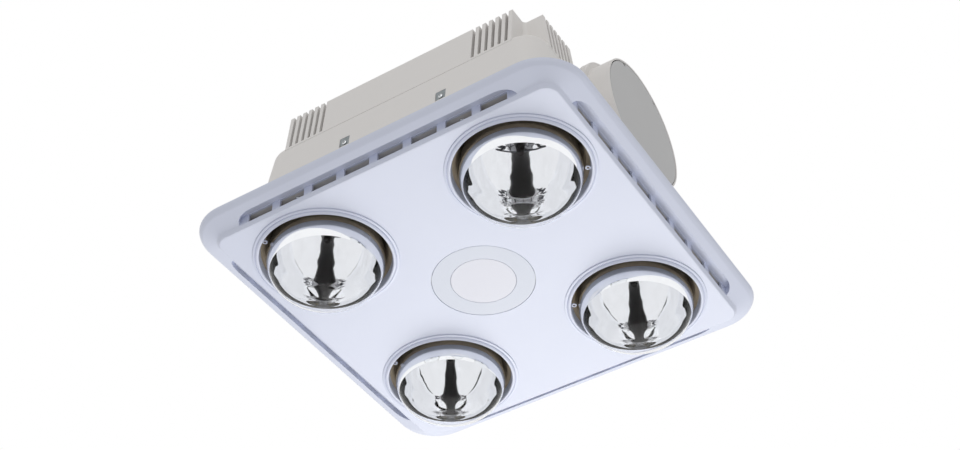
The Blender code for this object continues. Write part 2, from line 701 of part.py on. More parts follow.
def make_skirt(white):
    """The lower housing: a drafted sheet shell with a flange below and rounded shoulders at its corners."""
    below = -FLANGE_SHEET
    outside = [
        square_ring(FLANGE_HALF, CAVITY_CORNER - CLEARANCE, below),
        square_ring(FLANGE_HALF, CAVITY_CORNER - CLEARANCE, 0),
        square_ring(HOUSING_FOOT_HALF, SKIRT_CORNER, 0),
    ]
    skirt = solid("housing_skirt", loft(outside + shoulder_rings(0)), white)
    inner_foot = square_ring(half_at(below - OVERRUN) - SHEET, SKIRT_CORNER - SHEET, below - OVERRUN)
    cut(skirt, "skirt_inside", loft([inner_foot] + shoulder_rings(SHEET)))
    upper = cross_outline(FASCIA_HALF, ARM_HALF + CLEARANCE, NOTCH_ROUND - CLEARANCE, (None,) * 4)
    cut(skirt, "skirt_mouth", prism(upper, SKIRT_TOP, HOUSING_TOP))
    windows = bmesh.new()
    for side in (-1, 1):
        window = [(side * RAIL_OUT + u, v) for u, v in rail_window()]
        prism(window, -FASCIA_HALF, FASCIA_HALF, "Y", windows)
    cut(skirt, "skirt_windows", windows)
    duct = circle(COLLAR_RADIUS + COLLAR_GAP, DUCT_STEPS, (0, DUCT_HEIGHT))
    cut(skirt, "skirt_duct_hole", prism(duct, RECESS_DEPTH, FASCIA_HALF, "X"))
    holes = bmesh.new()
    for place in flange_screw_places():
        hole = circle(FLANGE_SCREW_RADIUS + CLEARANCE, SCREW_STEPS, place)
        prism(hole, below - OVERRUN, OVERRUN, shape=holes)
    cut(skirt, "skirt_screw_holes", holes)


def make_upper_housing(white):
    """The upper housing: a cross-shaped box with slots and a recess for the duct. It laps into the skirt."""
    edge = SKIRT_TOP + CLEARANCE
    lap_half = half_at(SKIRT_TOP) - SHEET - CLEARANCE
    recess = ((RECESS_HALF, RECESS_DEPTH), None, None, None)
    step = edge + LAP_STEP
    levels = [(lap_half, edge - LAP), (lap_half, edge)]
    levels += [(half_at(step), step), (half_at(HOUSING_TOP), HOUSING_TOP)]
    outside = []
    for half, height in levels:
        outline = cross_outline(half, ARM_HALF, NOTCH_ROUND, recess)
        outside.append([(x, y, height) for x, y in outline])
    box = solid("housing_top", loft(outside), white)
    pad_start = ARM_HALF - SLOT_POST - SLOT_WIDTH - SLOT_PITCH * (SLOTS_PER_GROUP - 1) - PAD_MARGIN
    inner_recess = (RECESS_HALF + SHEET, RECESS_DEPTH - SHEET)
    ledge = step + SHEET
    roof = HOUSING_TOP - ROOF_SHEET
    levels = [(lap_half, edge - LAP - OVERRUN), (lap_half, ledge)]
    levels += [(half_at(ledge), ledge + LAP_STEP), (half_at(roof), roof)]
    inside = []
    for half, height in levels:
        plain = (pad_start, half - SHEET)
        steps = (inner_recess, plain, plain, plain)
        outline = cross_outline(half - FIN_DEPTH, ARM_HALF - SHEET, NOTCH_ROUND + SHEET, steps)
        inside.append([(x, y, height) for x, y in outline])
    cut(box, "upper_inside", loft(inside))
    slots = bmesh.new()
    depth = half_at(HOUSING_TOP) - FIN_DEPTH - SLOT_PAST
    for side in range(4):
        for hand in (-1, 1):
            for i in range(SLOTS_PER_GROUP):
                outer = ARM_HALF - SLOT_POST - SLOT_PITCH * i
                slot = rectangle(depth, HOUSING_FOOT_HALF, hand * outer, hand * (outer - SLOT_WIDTH))
                prism(quarter_turned(slot, side), SLOT_SILL, HOUSING_TOP + OVERRUN, shape=slots)
    cut(box, "upper_slots", slots)
    outlet = rectangle(-OUTLET_HALF, OUTLET_HALF, edge - LAP - OVERRUN, SCROLL_TOP)
    cut(box, "upper_outlet", prism(outlet, OUTLET_END - OVERRUN, RECESS_DEPTH + OVERRUN, "X"))


def screw_shape(head_radius, head, radius, length, steps, toward="Z"):
    """A screw with its head's underside at the origin and its head turned away from its shank."""
    profile = [(0, head), (head_radius / 2, head), (head_radius, head / 2), (head_radius, 0)]
    profile += [(radius, 0), (radius, -length), (0, -length)]
    return turned(profile, steps, toward)


def make_rails(steel, zinc):
    """Two channel rails across the housing, with a screw in each end wall."""
    end = half_at((RAIL_LOW + RAIL_TOP) / 2) - RAIL_SET_IN
    trough = RAIL_WIDTH / 2 - RAIL_SHEET
    screw_height = (RAIL_LOW + RAIL_TOP) / 2 - SCREW_DROP
    number = 0
    for hand, side in (("left", -1), ("right", 1)):
        middle = side * RAIL_OUT
        outline = rectangle(middle - RAIL_WIDTH / 2, middle + RAIL_WIDTH / 2, -end, end)
        rail = solid(f"chassis_rail_{hand}", prism(outline, RAIL_LOW, RAIL_TOP), steel)
        hollow = rectangle(middle - trough, middle + trough, RAIL_END - end, end - RAIL_END)
        cut(rail, f"rail_{hand}_trough", prism(hollow, RAIL_LOW + RAIL_SHEET, RAIL_TOP + OVERRUN))
        hole = circle(SCREW_RADIUS + CLEARANCE, SCREW_STEPS, (middle, screw_height))
        cut(rail, f"rail_{hand}_holes", prism(hole, -end - OVERRUN, end + OVERRUN, "Y"))
        for toward, out in (("-Y", -1), ("Y", 1)):
            number += 1
            size = (SCREW_HEAD_RADIUS, SCREW_HEAD, SCREW_RADIUS, SCREW_LENGTH)
            screw = screw_shape(*size, SCREW_STEPS, toward)
            solid(f"rail_screw_{number}", moved(screw, middle, out * (end + CLEARANCE), screw_height), zinc)


def make_flange_screws(zinc):
    """The eight screws that fasten the flange to the ceiling, heads down."""
    for number, (x, y) in enumerate(flange_screw_places(), 1):
        size = (FLANGE_SCREW_HEAD_RADIUS, FLANGE_SCREW_HEAD, FLANGE_SCREW_RADIUS, FLANGE_SCREW_LENGTH)
        shape = screw_shape(*size, SCREW_STEPS)
        bmesh.ops.rotate(shape, cent=(0, 0, 0), matrix=Matrix.Rotation(math.pi, 3, "X"), verts=shape.verts)
        solid(f"flange_screw_{number}", moved(shape, x, y, -FLANGE_SHEET - CLEARANCE), zinc)


def scroll_outline(wall, end):
    """The scroll in plan, set in by a wall: a spiral round the fan that runs out straight to its outlet."""
    low = wall - OUTLET_HALF
    tongue = FAN_X + SCROLL_SMALL - wall
    outline = [(end, low), (tongue, low)]
    for i in range(SCROLL_STEPS + 1):
        share = i / SCROLL_STEPS
        a = -math.pi * 3 / 2 * share
        radius = SCROLL_SMALL + (SCROLL_LARGE - SCROLL_SMALL) * share - wall
        outline.append((FAN_X + radius * math.cos(a), FAN_Y + radius * math.sin(a)))
    return outline + [(end, OUTLET_HALF - wall)]


def make_fan(steel, black, zinc):
    """The extractor fan: scroll, cover, drum impeller on its shaft, and motor."""
    scroll = solid("fan_scroll", prism(scroll_outline(0, OUTLET_END), SCROLL_LOW, SCROLL_TOP), steel)
    hollow = scroll_outline(SCROLL_SHEET, OUTLET_END + OVERRUN)
    cut(scroll, "scroll_inside", prism(hollow, SCROLL_LOW + SCROLL_SHEET, SCROLL_TOP + OVERRUN))
    inlet = circle(INLET_RADIUS, ROUND_STEPS, (FAN_X, FAN_Y))
    cut(scroll, "scroll_inlet", prism(inlet, SCROLL_LOW - OVERRUN, SCROLL_LOW + SCROLL_SHEET + OVERRUN))
    cover = solid("scroll_cover", prism(scroll_outline(0, OUTLET_END), COVER_LOW, COVER_TOP), steel)
    shaft_hole = circle(COVER_HOLE, SMALL_STEPS, (FAN_X, FAN_Y))
    cut(cover, "cover_hole", prism(shaft_hole, COVER_LOW - OVERRUN, COVER_TOP + OVERRUN))
    axle = frame("fan_axis", (FAN_X, FAN_Y, 0))
    bore = SHAFT_RADIUS + CLEARANCE
    disc_low = IMPELLER_TOP - IMPELLER_DISC
    hub_low = IMPELLER_TOP - HUB_LENGTH
    drum = [(bore, IMPELLER_TOP), (IMPELLER_RADIUS, IMPELLER_TOP), (IMPELLER_RADIUS, disc_low)]
    drum += [(HUB_RADIUS, disc_low), (HUB_RADIUS, hub_low), (bore, hub_low)]
    impeller = solid("impeller", turned(drum, ROUND_STEPS), black, axle)
    blades = bmesh.new()
    inner = IMPELLER_RADIUS - BLADE_DEPTH
    for i in range(BLADE_COUNT):
        a = math.tau * (i + 1 / 2) / BLADE_COUNT
        start = (inner * math.cos(a), inner * math.sin(a))
        reach = (BLADE_DEPTH - 2 * BLADE_SHEET) / math.cos(BLADE_LEAN)
        along = (math.cos(a + BLADE_LEAN), math.sin(a + BLADE_LEAN))
        across = (-along[1] * BLADE_SHEET, along[0] * BLADE_SHEET)
        tip = (start[0] + along[0] * reach, start[1] + along[1] * reach)
        blade = [start, tip] + [(x + across[0], y + across[1]) for x, y in (tip, start)]
        prism(blade, IMPELLER_LOW + JOIN_SINK, disc_low + JOIN_SINK, shape=blades)
    join(impeller, "impeller_blades", blades)
    band = rectangle(inner - BLADE_SHEET, IMPELLER_RADIUS, IMPELLER_LOW, IMPELLER_LOW + IMPELLER_DISC)
    join(impeller, "impeller_band", turned(band, ROUND_STEPS))
    shaft_top = MOTOR_LOW + SHAFT_IN_MOTOR
    shaft = prism(circle(SHAFT_RADIUS, SMALL_STEPS), hub_low - SHAFT_BELOW, shaft_top)
    solid("motor_shaft", shaft, zinc, axle)
    small = MOTOR_RADIUS - MOTOR_STEP
    motor = [(0, MOTOR_TOP), (small, MOTOR_TOP), (MOTOR_RADIUS, MOTOR_TOP - MOTOR_STEP)]
    motor += [(MOTOR_RADIUS, MOTOR_LOW + MOTOR_STEP), (small, MOTOR_LOW), (bore, MOTOR_LOW)]
    motor += [(bore, shaft_top + CLEARANCE), (0, shaft_top + CLEARANCE)]
    solid("motor_body", turned(motor, ROUND_STEPS), steel, axle)


def make_outlet(white, grey, zinc):
    """The duct adaptor with its collar and spigot, and the backdraft flap that hangs on a pin in it."""
    duct = frame("duct_axis", (0, 0, DUCT_HEIGHT))
    inner_face = COLLAR_BACK + COLLAR_SHEET
    profile = [(0, COLLAR_BACK), (COLLAR_RADIUS, COLLAR_BACK), (COLLAR_RADIUS, COLLAR_FACE)]
    profile += [(SPIGOT_RADIUS, COLLAR_FACE), (SPIGOT_RADIUS, SPIGOT_END), (SPIGOT_BORE, SPIGOT_END)]
    profile += [(SPIGOT_BORE, inner_face), (0, inner_face)]
    adaptor = solid("outlet_adaptor", turned(profile, DUCT_STEPS, "X"), white, duct)
    wide = OUTLET_HALF
    low = SCROLL_LOW - DUCT_HEIGHT
    high = SCROLL_TOP - DUCT_HEIGHT
    wall = ADAPTOR_NECK_WALL
    plate_low = RECESS_DEPTH + CLEARANCE
    plate_high = plate_low + ADAPTOR_PLATE
    neck = rectangle(-wide - wall, wide + wall, low - wall, high + wall)
    neck_low = plate_low + ADAPTOR_PLATE / 2
    join(adaptor, "adaptor_neck", prism(neck, neck_low, COLLAR_BACK + COLLAR_SHEET / 2, "X"))
    margin = ADAPTOR_PLATE_MARGIN
    plate = rectangle(-wide - margin, wide + margin, low - margin, high + margin)
    join(adaptor, "adaptor_plate", prism(plate, plate_low, plate_high, "X"))
    way = rectangle(-wide, wide, low, high)
    cut(adaptor, "adaptor_way", prism(way, plate_low - OVERRUN, inner_face + OVERRUN, "X"))
    pin_hole = circle(FLAP_PIN_RADIUS + CLEARANCE, SMALL_STEPS, (FLAP_AXIS_X, FLAP_PIN_RISE))
    cut(adaptor, "adaptor_pin_holes", prism(pin_hole, -SPIGOT_RADIUS, SPIGOT_RADIUS, "Y"))
    hinge = frame("flap_axis", (FLAP_AXIS_X, 0, FLAP_AXIS_Z))
    disc = circle(SPIGOT_BORE - FLAP_GAP, DUCT_STEPS, (0, -FLAP_PIN_RISE))
    flap = solid("backdraft_flap", prism(disc, FLAP_BARREL - FLAP_SHEET, FLAP_BARREL, "X"), grey, hinge)
    ears = bmesh.new()
    for side in (-1, 1):
        ear = rectangle(side * FLAP_EAR_HALF, side * SPIGOT_RADIUS, -FLAP_EAR_DROP, FLAP_PIN_DROP)
        prism(ear, FLAP_BARREL - FLAP_SHEET - OVERRUN, FLAP_BARREL + OVERRUN, "X", ears)
    cut(flap, "flap_ears", ears)
    barrel_half = FLAP_EAR_HALF - JOIN_SINK
    join(flap, "flap_barrel", prism(circle(FLAP_BARREL, SMALL_STEPS), -barrel_half, barrel_half, "Y"))
    bore = prism(circle(FLAP_PIN_RADIUS + CLEARANCE, SMALL_STEPS), -FLAP_EAR_HALF, FLAP_EAR_HALF, "Y")
    cut(flap, "flap_bore", bore)
    pin = prism(circle(FLAP_PIN_RADIUS, SMALL_STEPS), -FLAP_PIN_HALF, FLAP_PIN_HALF, "Y")
    solid("flap_pin", pin, zinc, hinge)


def make_terminals(white, black, grey):
    """The wiring box on the far side: a drafted box with a lid, a terminal block and a cable gland."""
    back_low = half_at(TERMINAL_LOW) + CLEARANCE
    back_high = half_at(TERMINAL_HIGH) + CLEARANCE
    front = back_low + TERMINAL_DEPTH
    outline = [(-front, TERMINAL_LOW), (-back_low, TERMINAL_LOW)]
    outline += [(-back_high, TERMINAL_HIGH), (-front, TERMINAL_HIGH)]
    box = solid("terminal_box", prism(outline, -TERMINAL_HALF, TERMINAL_HALF, "Y"), white)
    floor = TERMINAL_LOW + TERMINAL_WALL
    inner_back = back_low + TERMINAL_WALL
    hollow = rectangle(-front - OVERRUN, -inner_back, floor, TERMINAL_HIGH - TERMINAL_WALL)
    inner_half = TERMINAL_HALF - TERMINAL_WALL
    cut(box, "terminal_box_inside", prism(hollow, -inner_half, inner_half, "Y"))
    lid_back = front + CLEARANCE
    lid = rectangle(-lid_back - TERMINAL_WALL, -lid_back, TERMINAL_LOW, TERMINAL_HIGH)
    solid("terminal_box_lid", prism(lid, -TERMINAL_HALF, TERMINAL_HALF, "Y"), white)
    near = -inner_back - CLEARANCE
    base = floor + CLEARANCE
    block_plan = rectangle(near - BLOCK_WIDTH, near, -BLOCK_HALF, BLOCK_HALF)
    block = solid("terminal_block", prism(block_plan, base, base + BLOCK_HEIGHT), black)
    wells = bmesh.new()
    for i in range(BLOCK_WELLS):
        along = BLOCK_HALF * (2 * i + 1 - BLOCK_WELLS) / BLOCK_WELLS
        well = circle(BLOCK_WELL_RADIUS, SMALL_STEPS, (near - BLOCK_WIDTH / 2, along))
        prism(well, base + BLOCK_HEIGHT - BLOCK_WELL_DEPTH, base + BLOCK_HEIGHT + OVERRUN, shape=wells)
    cut(block, "terminal_wells", wells)
    middle_x = -(front + inner_back) / 2
    middle_z = (TERMINAL_LOW + TERMINAL_HIGH) / 2
    hole = circle(GLAND_RADIUS + CLEARANCE, SMALL_STEPS, (middle_x, middle_z))
    cut(box, "terminal_box_hole", prism(hole, inner_half - OVERRUN, TERMINAL_HALF + OVERRUN, "Y"))
    seat = TERMINAL_HALF + CLEARANCE
    nut = seat + GLAND_NUT_LENGTH
    dome = nut + GLAND_DOME_LENGTH
    gland = [(GLAND_BORE, inner_half), (GLAND_RADIUS, inner_half), (GLAND_RADIUS, seat)]
    gland += [(GLAND_NUT_RADIUS, seat), (GLAND_NUT_RADIUS, nut), (GLAND_DOME_RADIUS, nut)]
    gland += [(GLAND_RADIUS, dome), (GLAND_BORE, dome)]
    solid("cable_gland", moved(turned(gland, SMALL_STEPS, "Y"), middle_x, 0, middle_z), grey)


def main():
    for old in list(bpy.data.objects):
        bpy.data.objects.remove(old)
    white = finish("moulded_white", (0.80, 0.81, 0.86), 0.42)
    ring_white = finish("ring_white", (0.80, 0.81, 0.87), 0.35)
    housing_white = finish("housing_white", (0.56, 0.55, 0.55), 0.55)
    bowl_metal = finish("bowl_metal", (0.12, 0.10, 0.08), 0.35, 0.6)
    glass = finish("lamp_glass", (0.80, 0.82, 0.84), 0.05, 0.8)
    dark_glass = finish("stem_glass", (0.05, 0.05, 0.06), 0.2)
    brass = finish("cap_brass", (0.60, 0.45, 0.22), 0.35, 1)
    ceramic = finish("holder_ceramic", (0.75, 0.73, 0.68), 0.5)
    steel = finish("galvanised_steel", (0.55, 0.57, 0.59), 0.45, 1)
    zinc = finish("zinc_plate", (0.65, 0.66, 0.67), 0.3, 1)
    aluminium = finish("cast_aluminium", (0.62, 0.63, 0.65), 0.4, 1)
    opal = finish("opal_diffuser", (0.86, 0.88, 0.89), 0.4)
    grey = finish("grey_plastic", (0.41, 0.41, 0.41), 0.5)
    black = finish("black_plastic", (0.03, 0.03, 0.03), 0.5)
    make_fascia(white)
    for number, (side_x, side_y) in enumerate(LAMP_PLACES, 1):
        place = frame(f"lamp_axis_{number}", (side_x * LAMP_OUT, side_y * LAMP_OUT, 0))
        make_trim_ring(f"trim_ring_{number}", ring_white, place, EYE_ANGLES[number - 1])
        make_bowl(f"reflector_bowl_{number}", bowl_metal, place)
        make_lamp(number, glass, dark_glass, brass, place)
        make_holder(f"lampholder_{number}", ceramic, place)
    make_lamp_bar("lamp_bar_front", steel, -1)
    make_lamp_bar("lamp_bar_rear", steel, 1)
    make_downlight(ring_white, opal, white, aluminium, grey)
    make_skirt(housing_white)
    make_upper_housing(housing_white)
    make_rails(steel, zinc)
    make_flange_screws(zinc)
    make_fan(steel, black, zinc)
    make_outlet(housing_white, grey, zinc)
    make_terminals(housing_white, black, grey)


main()
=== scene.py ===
"""The looks of a recessed ceiling unit with four heat lamps, an extractor fan and a downlight.

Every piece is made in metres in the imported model's frame: the origin is the middle of the ceiling's
underside, +Z goes up into the ceiling space and +X goes out along the duct spigot.
"""

import logging
import math
from collections.abc import Callable, Sequence
from dataclasses import dataclass, field
from enum import Enum

import bmesh
import bpy
from mathutils import Matrix, Vector


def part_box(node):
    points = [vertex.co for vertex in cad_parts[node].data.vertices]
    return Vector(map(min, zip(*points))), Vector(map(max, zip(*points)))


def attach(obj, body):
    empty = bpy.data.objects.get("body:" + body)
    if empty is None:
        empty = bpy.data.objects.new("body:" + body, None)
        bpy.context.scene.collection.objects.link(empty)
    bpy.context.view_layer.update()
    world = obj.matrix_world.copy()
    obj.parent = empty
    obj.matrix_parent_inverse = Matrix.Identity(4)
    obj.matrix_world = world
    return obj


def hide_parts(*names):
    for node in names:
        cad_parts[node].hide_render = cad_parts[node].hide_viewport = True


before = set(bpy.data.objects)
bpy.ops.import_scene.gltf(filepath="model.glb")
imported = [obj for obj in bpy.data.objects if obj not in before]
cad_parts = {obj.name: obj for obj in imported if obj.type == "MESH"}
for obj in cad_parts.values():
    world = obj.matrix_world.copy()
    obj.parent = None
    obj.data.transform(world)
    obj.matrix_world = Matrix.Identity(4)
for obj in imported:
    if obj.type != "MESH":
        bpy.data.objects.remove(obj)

Color = tuple[float, float, float]
Plan = list[tuple[float, float]]
Ring = list[tuple[float, float, float]]
Stretch = tuple[float, float, float]

log = logging.getLogger("heat_lamp_unit")

ROUND_STEPS = 96
FINE_STEPS = 144
SMALL_STEPS = 32
CORNER_STEPS = 16
EASE_STEPS = 3
EASE_REACH = 0.45
BEND_STEPS = 4
SWEEP_STEPS = 6
MERGE = 1e-6
GAP = 0.0003
OVERRUN = 0.002
SHARP = math.radians(32)
CORNERS = ((-1, -1), (1, -1), (1, 1), (-1, 1))
EYELET_DEGREES = (233, 32, 206, 233)
GAMMA = 2.2
CHART_WHITE = 255
EVEN = (1, 1, 1)
MIDDLE = 0.5
NOISE_ROUGHNESS = 0.55


def paint(red: int, green: int, blue: int) -> Color:
    """A colour as a paint chart gives it, turned to the linear values that shaders take."""
    return tuple((part / CHART_WHITE) ** GAMMA for part in (red, green, blue))


class Axis(Enum):
    """The direction that an outline is carried along or a profile is turned about."""

    X = "X"
    Y = "Y"
    Z = "Z"

    def point(self, u: float, v: float, along: float) -> tuple[float, float, float]:
        """The place of an outline's point u, v at a distance along this axis.

        Args:
            u: The point's first value.
            v: Its second value.
            along: The distance along the axis.

        Returns:
            The place.
        """
        if self is Axis.X:
            return (along, u, v)
        if self is Axis.Y:
            return (u, along, v)
        return (u, v, along)


def circle(radius: float, steps: int, middle: tuple[float, float] = (0, 0)) -> Plan:
    """Points round a circle."""
    turns = [math.tau * i / steps for i in range(steps)]
    return [(middle[0] + radius * math.cos(a), middle[1] + radius * math.sin(a)) for a in turns]


def rectangle(low_u: float, high_u: float, low_v: float, high_v: float) -> Plan:
    """The four corners of a rectangle."""
    return [(low_u, low_v), (high_u, low_v), (high_u, high_v), (low_u, high_v)]


def rounded(half_u: float, half_v: float, corner: float) -> Plan:
    """A rectangle about the origin with round corners.

    Args:
        half_u: Half its length along u.
        half_v: Half its length along v.
        corner: The radius of its corners.

    Returns:
        Its points in order.
    """
    points = []
    for quarter, (side_u, side_v) in enumerate(((1, 1), (-1, 1), (-1, -1), (1, -1))):
        for i in range(CORNER_STEPS + 1):
            a = math.pi / 2 * (quarter + i / CORNER_STEPS)
            u = side_u * (half_u - corner) + corner * math.cos(a)
            v = side_v * (half_v - corner) + corner * math.sin(a)
            points.append((u, v))
    return points


def quarter_turned(points: Plan, turns: int) -> Plan:
    """Plan points turned about the origin by quarter turns.

    Args:
        points: The points.
        turns: How many quarter turns.

    Returns:
        The turned points.
    """
    for _ in range(turns):
        points = [(-y, x) for x, y in points]
    return points


def eased(corners: Plan, radius: float, closed: bool = False) -> Plan:
    """Rounds a line's corners.

    Args:
        corners: The line's points, which must not repeat.
        radius: How far from each corner its round starts. A short side takes less.
        closed: Whether the last point joins the first.

    Returns:
        The line with each inner corner replaced by a short curve.
    """
    made: Plan = []
    count = len(corners)
    for i, corner in enumerate(corners):
        if not closed and i in (0, count - 1):
            made.append(corner)
            continue
        here = Vector(corner)
        before = Vector(corners[i - 1]) - here
        after = Vector(corners[(i + 1) % count]) - here
        reach = min(radius, before.length * EASE_REACH, after.length * EASE_REACH)
        start = here + before.normalized() * reach
        end = here + after.normalized() * reach
        for step in range(EASE_STEPS + 1):
            s = step / EASE_STEPS
            spot = start * (1 - s) ** 2 + here * 2 * s * (1 - s) + end * s**2
            made.append((spot.x, spot.y))
    return made


def curve(before: float, start: float, end: float, after: float, t: float) -> float:
    """One coordinate of a smooth curve through four points, at a share t of the way from start to end.

    Args:
        before: Its value at the point before.
        start: Its value at the start.
        end: Its value at the end.
        after: Its value at the point after.
        t: The share of the way.

    Returns:
        Its value there.
    """
    bend = 2 * before - 5 * start + 4 * end - after
    twist = 3 * start - before - 3 * end + after
    return 0.5 * (2 * start + (end - before) * t + bend * t**2 + twist * t**3)


def smoothed(points: Plan, steps: int) -> Plan:
    """A smooth curve through a line's points.

    Args:
        points: The line's points.
        steps: Straight pieces between two of them.

    Returns:
        The curve's points.
    """
    ends = [points[0], *points, points[-1]]
    made: Plan = []
    for p, q, r, s in zip(ends, ends[1:], ends[2:], ends[3:]):
        for i in range(steps):
            u, v = (curve(*values, i / steps) for values in zip(p, q, r, s))
            made.append((u, v))
    return [*made, points[-1]]


def offset(points: Plan, distance: float) -> Plan:
    """A line moved to its left by a distance, with points on the axis kept there.

    Args:
        points: The line's points.
        distance: How far it is moved.

    Returns:
        The moved line's points.
    """
    made: Plan = []
    for i, (u, v) in enumerate(points):
        before = Vector(points[max(i - 1, 0)])
        after = Vector(points[min(i + 1, len(points) - 1)])
        along = (after - before).normalized()
        shift_u = 0 if u == 0 else -along.y * distance
        shift_v = along.x * distance if u != 0 else distance
        made.append((u + shift_u, v + shift_v))
    return made


class Carving(Enum):
    """What one shape does to another."""

    CUT = "DIFFERENCE"
    JOIN = "UNION"


class Shape:
    """A mesh in the making. Its methods add closed forms to it or change what it holds."""

    def __init__(self) -> None:
        """Starts with nothing in it."""
        self.mesh = bmesh.new()

    def loft(self, rings: Sequence[Ring], closed: bool = False) -> "Shape":
        """Skins outlines of equal length, capped at both ends or joined last to first.

        Args:
            rings: The outlines in order.
            closed: Whether the last joins the first.

        Returns:
            This shape, with the form added.
        """
        loops = [[self.mesh.verts.new(point) for point in ring] for ring in rings]
        pairs = list(zip(loops, loops[1:]))
        if closed:
            pairs.append((loops[-1], loops[0]))
        for low, high in pairs:
            for i, start in enumerate(low):
                after = (i + 1) % len(low)
                self.mesh.faces.new((start, low[after], high[after], high[i]))
        if not closed:
            self.mesh.faces.new(loops[0][::-1])
            self.mesh.faces.new(loops[-1])
        return self

    def prism(self, outline: Plan, low: float, high: float, axis: Axis = Axis.Z) -> "Shape":
        """Carries an outline straight from low to high along an axis."""
        return self.loft([[axis.point(u, v, along) for u, v in outline] for along in (low, high)])

    def slab(
        self, outline: Callable[[float], Plan], low: float, high: float, ease: float, axis: Axis
    ) -> "Shape":
        """A prism with eased edges.

        Args:
            outline: Gives the outline when it is set in by a distance.
            low: Where it starts along the axis.
            high: Where it ends.
            ease: The radius of its edges.
            axis: The axis it is carried along.

        Returns:
            This shape, with the slab added.
        """
        rings = []
        for i in range(EASE_STEPS + 1):
            a = math.pi / 2 * i / EASE_STEPS
            rings.append((ease * (1 - math.sin(a)), low + ease * (1 - math.cos(a))))
        rings += [(inset, high - (along - low)) for inset, along in reversed(rings)]
        return self.loft([[axis.point(u, v, along) for u, v in outline(inset)] for inset, along in rings])

    def lathe(self, profile: Plan, steps: int = ROUND_STEPS, axis: Axis = Axis.Z) -> "Shape":
        """Turns a profile, which runs from axis to axis or closes clear of it.

        Args:
            profile: Radii and distances along the axis.
            steps: Pieces round the axis.
            axis: The axis it is turned about.

        Returns:
            This shape, with the form added.
        """
        rows = []
        for radius, along in profile:
            if radius <= 0:
                rows.append([self.mesh.verts.new(axis.point(0, 0, along))])
            else:
                spots = [axis.point(u, v, along) for u, v in circle(radius, steps)]
                rows.append([self.mesh.verts.new(spot) for spot in spots])
        pairs = list(zip(rows, rows[1:]))
        if profile[0][0] > 0:
            pairs.append((rows[-1], rows[0]))
        for low, high in pairs:
            for i in range(steps):
                after = (i + 1) % steps
                near = [low[i % len(low)], low[after % len(low)]]
                far = [high[after % len(high)], high[i % len(high)]]
                unlike = list(dict.fromkeys(near + far))
                if len(unlike) > 2:
                    self.mesh.faces.new(unlike)
        return self

    def wire(self, path: Sequence[Vector], radius: float, sides: int = 8) -> "Shape":
        """A round wire along a path, capped at both ends.

        Args:
            path: The places that it passes.
            radius: The wire's radius.
            sides: Pieces round the wire.

        Returns:
            This shape, with the wire added.
        """
        rings: list[Ring] = []
        across = Vector((0, 0, 1))
        for i, spot in enumerate(path):
            along = (path[min(i + 1, len(path) - 1)] - path[max(i - 1, 0)]).normalized()
            across = across - along * across.dot(along)
            if across.length < MERGE:
                across = along.orthogonal()
            across.normalize()
            third = along.cross(across)
            turns = [math.tau * k / sides for k in range(sides)]
            ways = [across * math.cos(a) + third * math.sin(a) for a in turns]
            rings.append([tuple(spot + way * radius) for way in ways])
        return self.loft(rings)

    def moved(self, x: float, y: float, z: float) -> "Shape":
        """Shifts all that it holds."""
        bmesh.ops.translate(self.mesh, vec=(x, y, z), verts=self.mesh.verts)
        return self

    def turned(self, angle: float, axis: Axis) -> "Shape":
        """Turns all that it holds about an axis through the origin."""
        bmesh.ops.rotate(self.mesh, matrix=Matrix.Rotation(angle, 3, axis.value), verts=self.mesh.verts)
        return self

    def data(self, name: str) -> bpy.types.Mesh:
        """Its mesh as Blender's own data, facing out, after which the shape is used up.

        Args:
            name: The mesh's name.

        Returns:
            The mesh.
        """
        bmesh.ops.remove_doubles(self.mesh, verts=self.mesh.verts, dist=MERGE)
        bmesh.ops.recalc_face_normals(self.mesh, faces=self.mesh.faces)
        made = bpy.data.meshes.new(name)
        self.mesh.to_mesh(made)
        self.mesh.free()
        return made

    def carved(self, carving: Carving, *tools: "Shape") -> "Shape":
        """Cuts tools from it, or joins them on, one after the other.

        Args:
            carving: Whether they are cut or joined.
            tools: The shapes to cut or join. They are used up.

        Returns:
            A new shape with what is left.
        """
        scene = bpy.context.scene.collection
        body = bpy.data.objects.new("carved_body", self.data("carved_body"))
        scene.objects.link(body)
        helpers = []
        for tool in tools:
            helper = bpy.data.objects.new("carving_tool", tool.data("carving_tool"))
            scene.objects.link(helper)
            change = body.modifiers.new("carve", "BOOLEAN")
            change.operation = carving.value
            change.object = helper
            helpers.append(helper)
        bpy.context.view_layer.update()
        result = bpy.data.meshes.new_from_object(body.evaluated_get(bpy.context.evaluated_depsgraph_get()))
        left = Shape()
        left.mesh.from_mesh(result)
        for used in (body, *helpers):
            bpy.data.objects.remove(used)
        return left


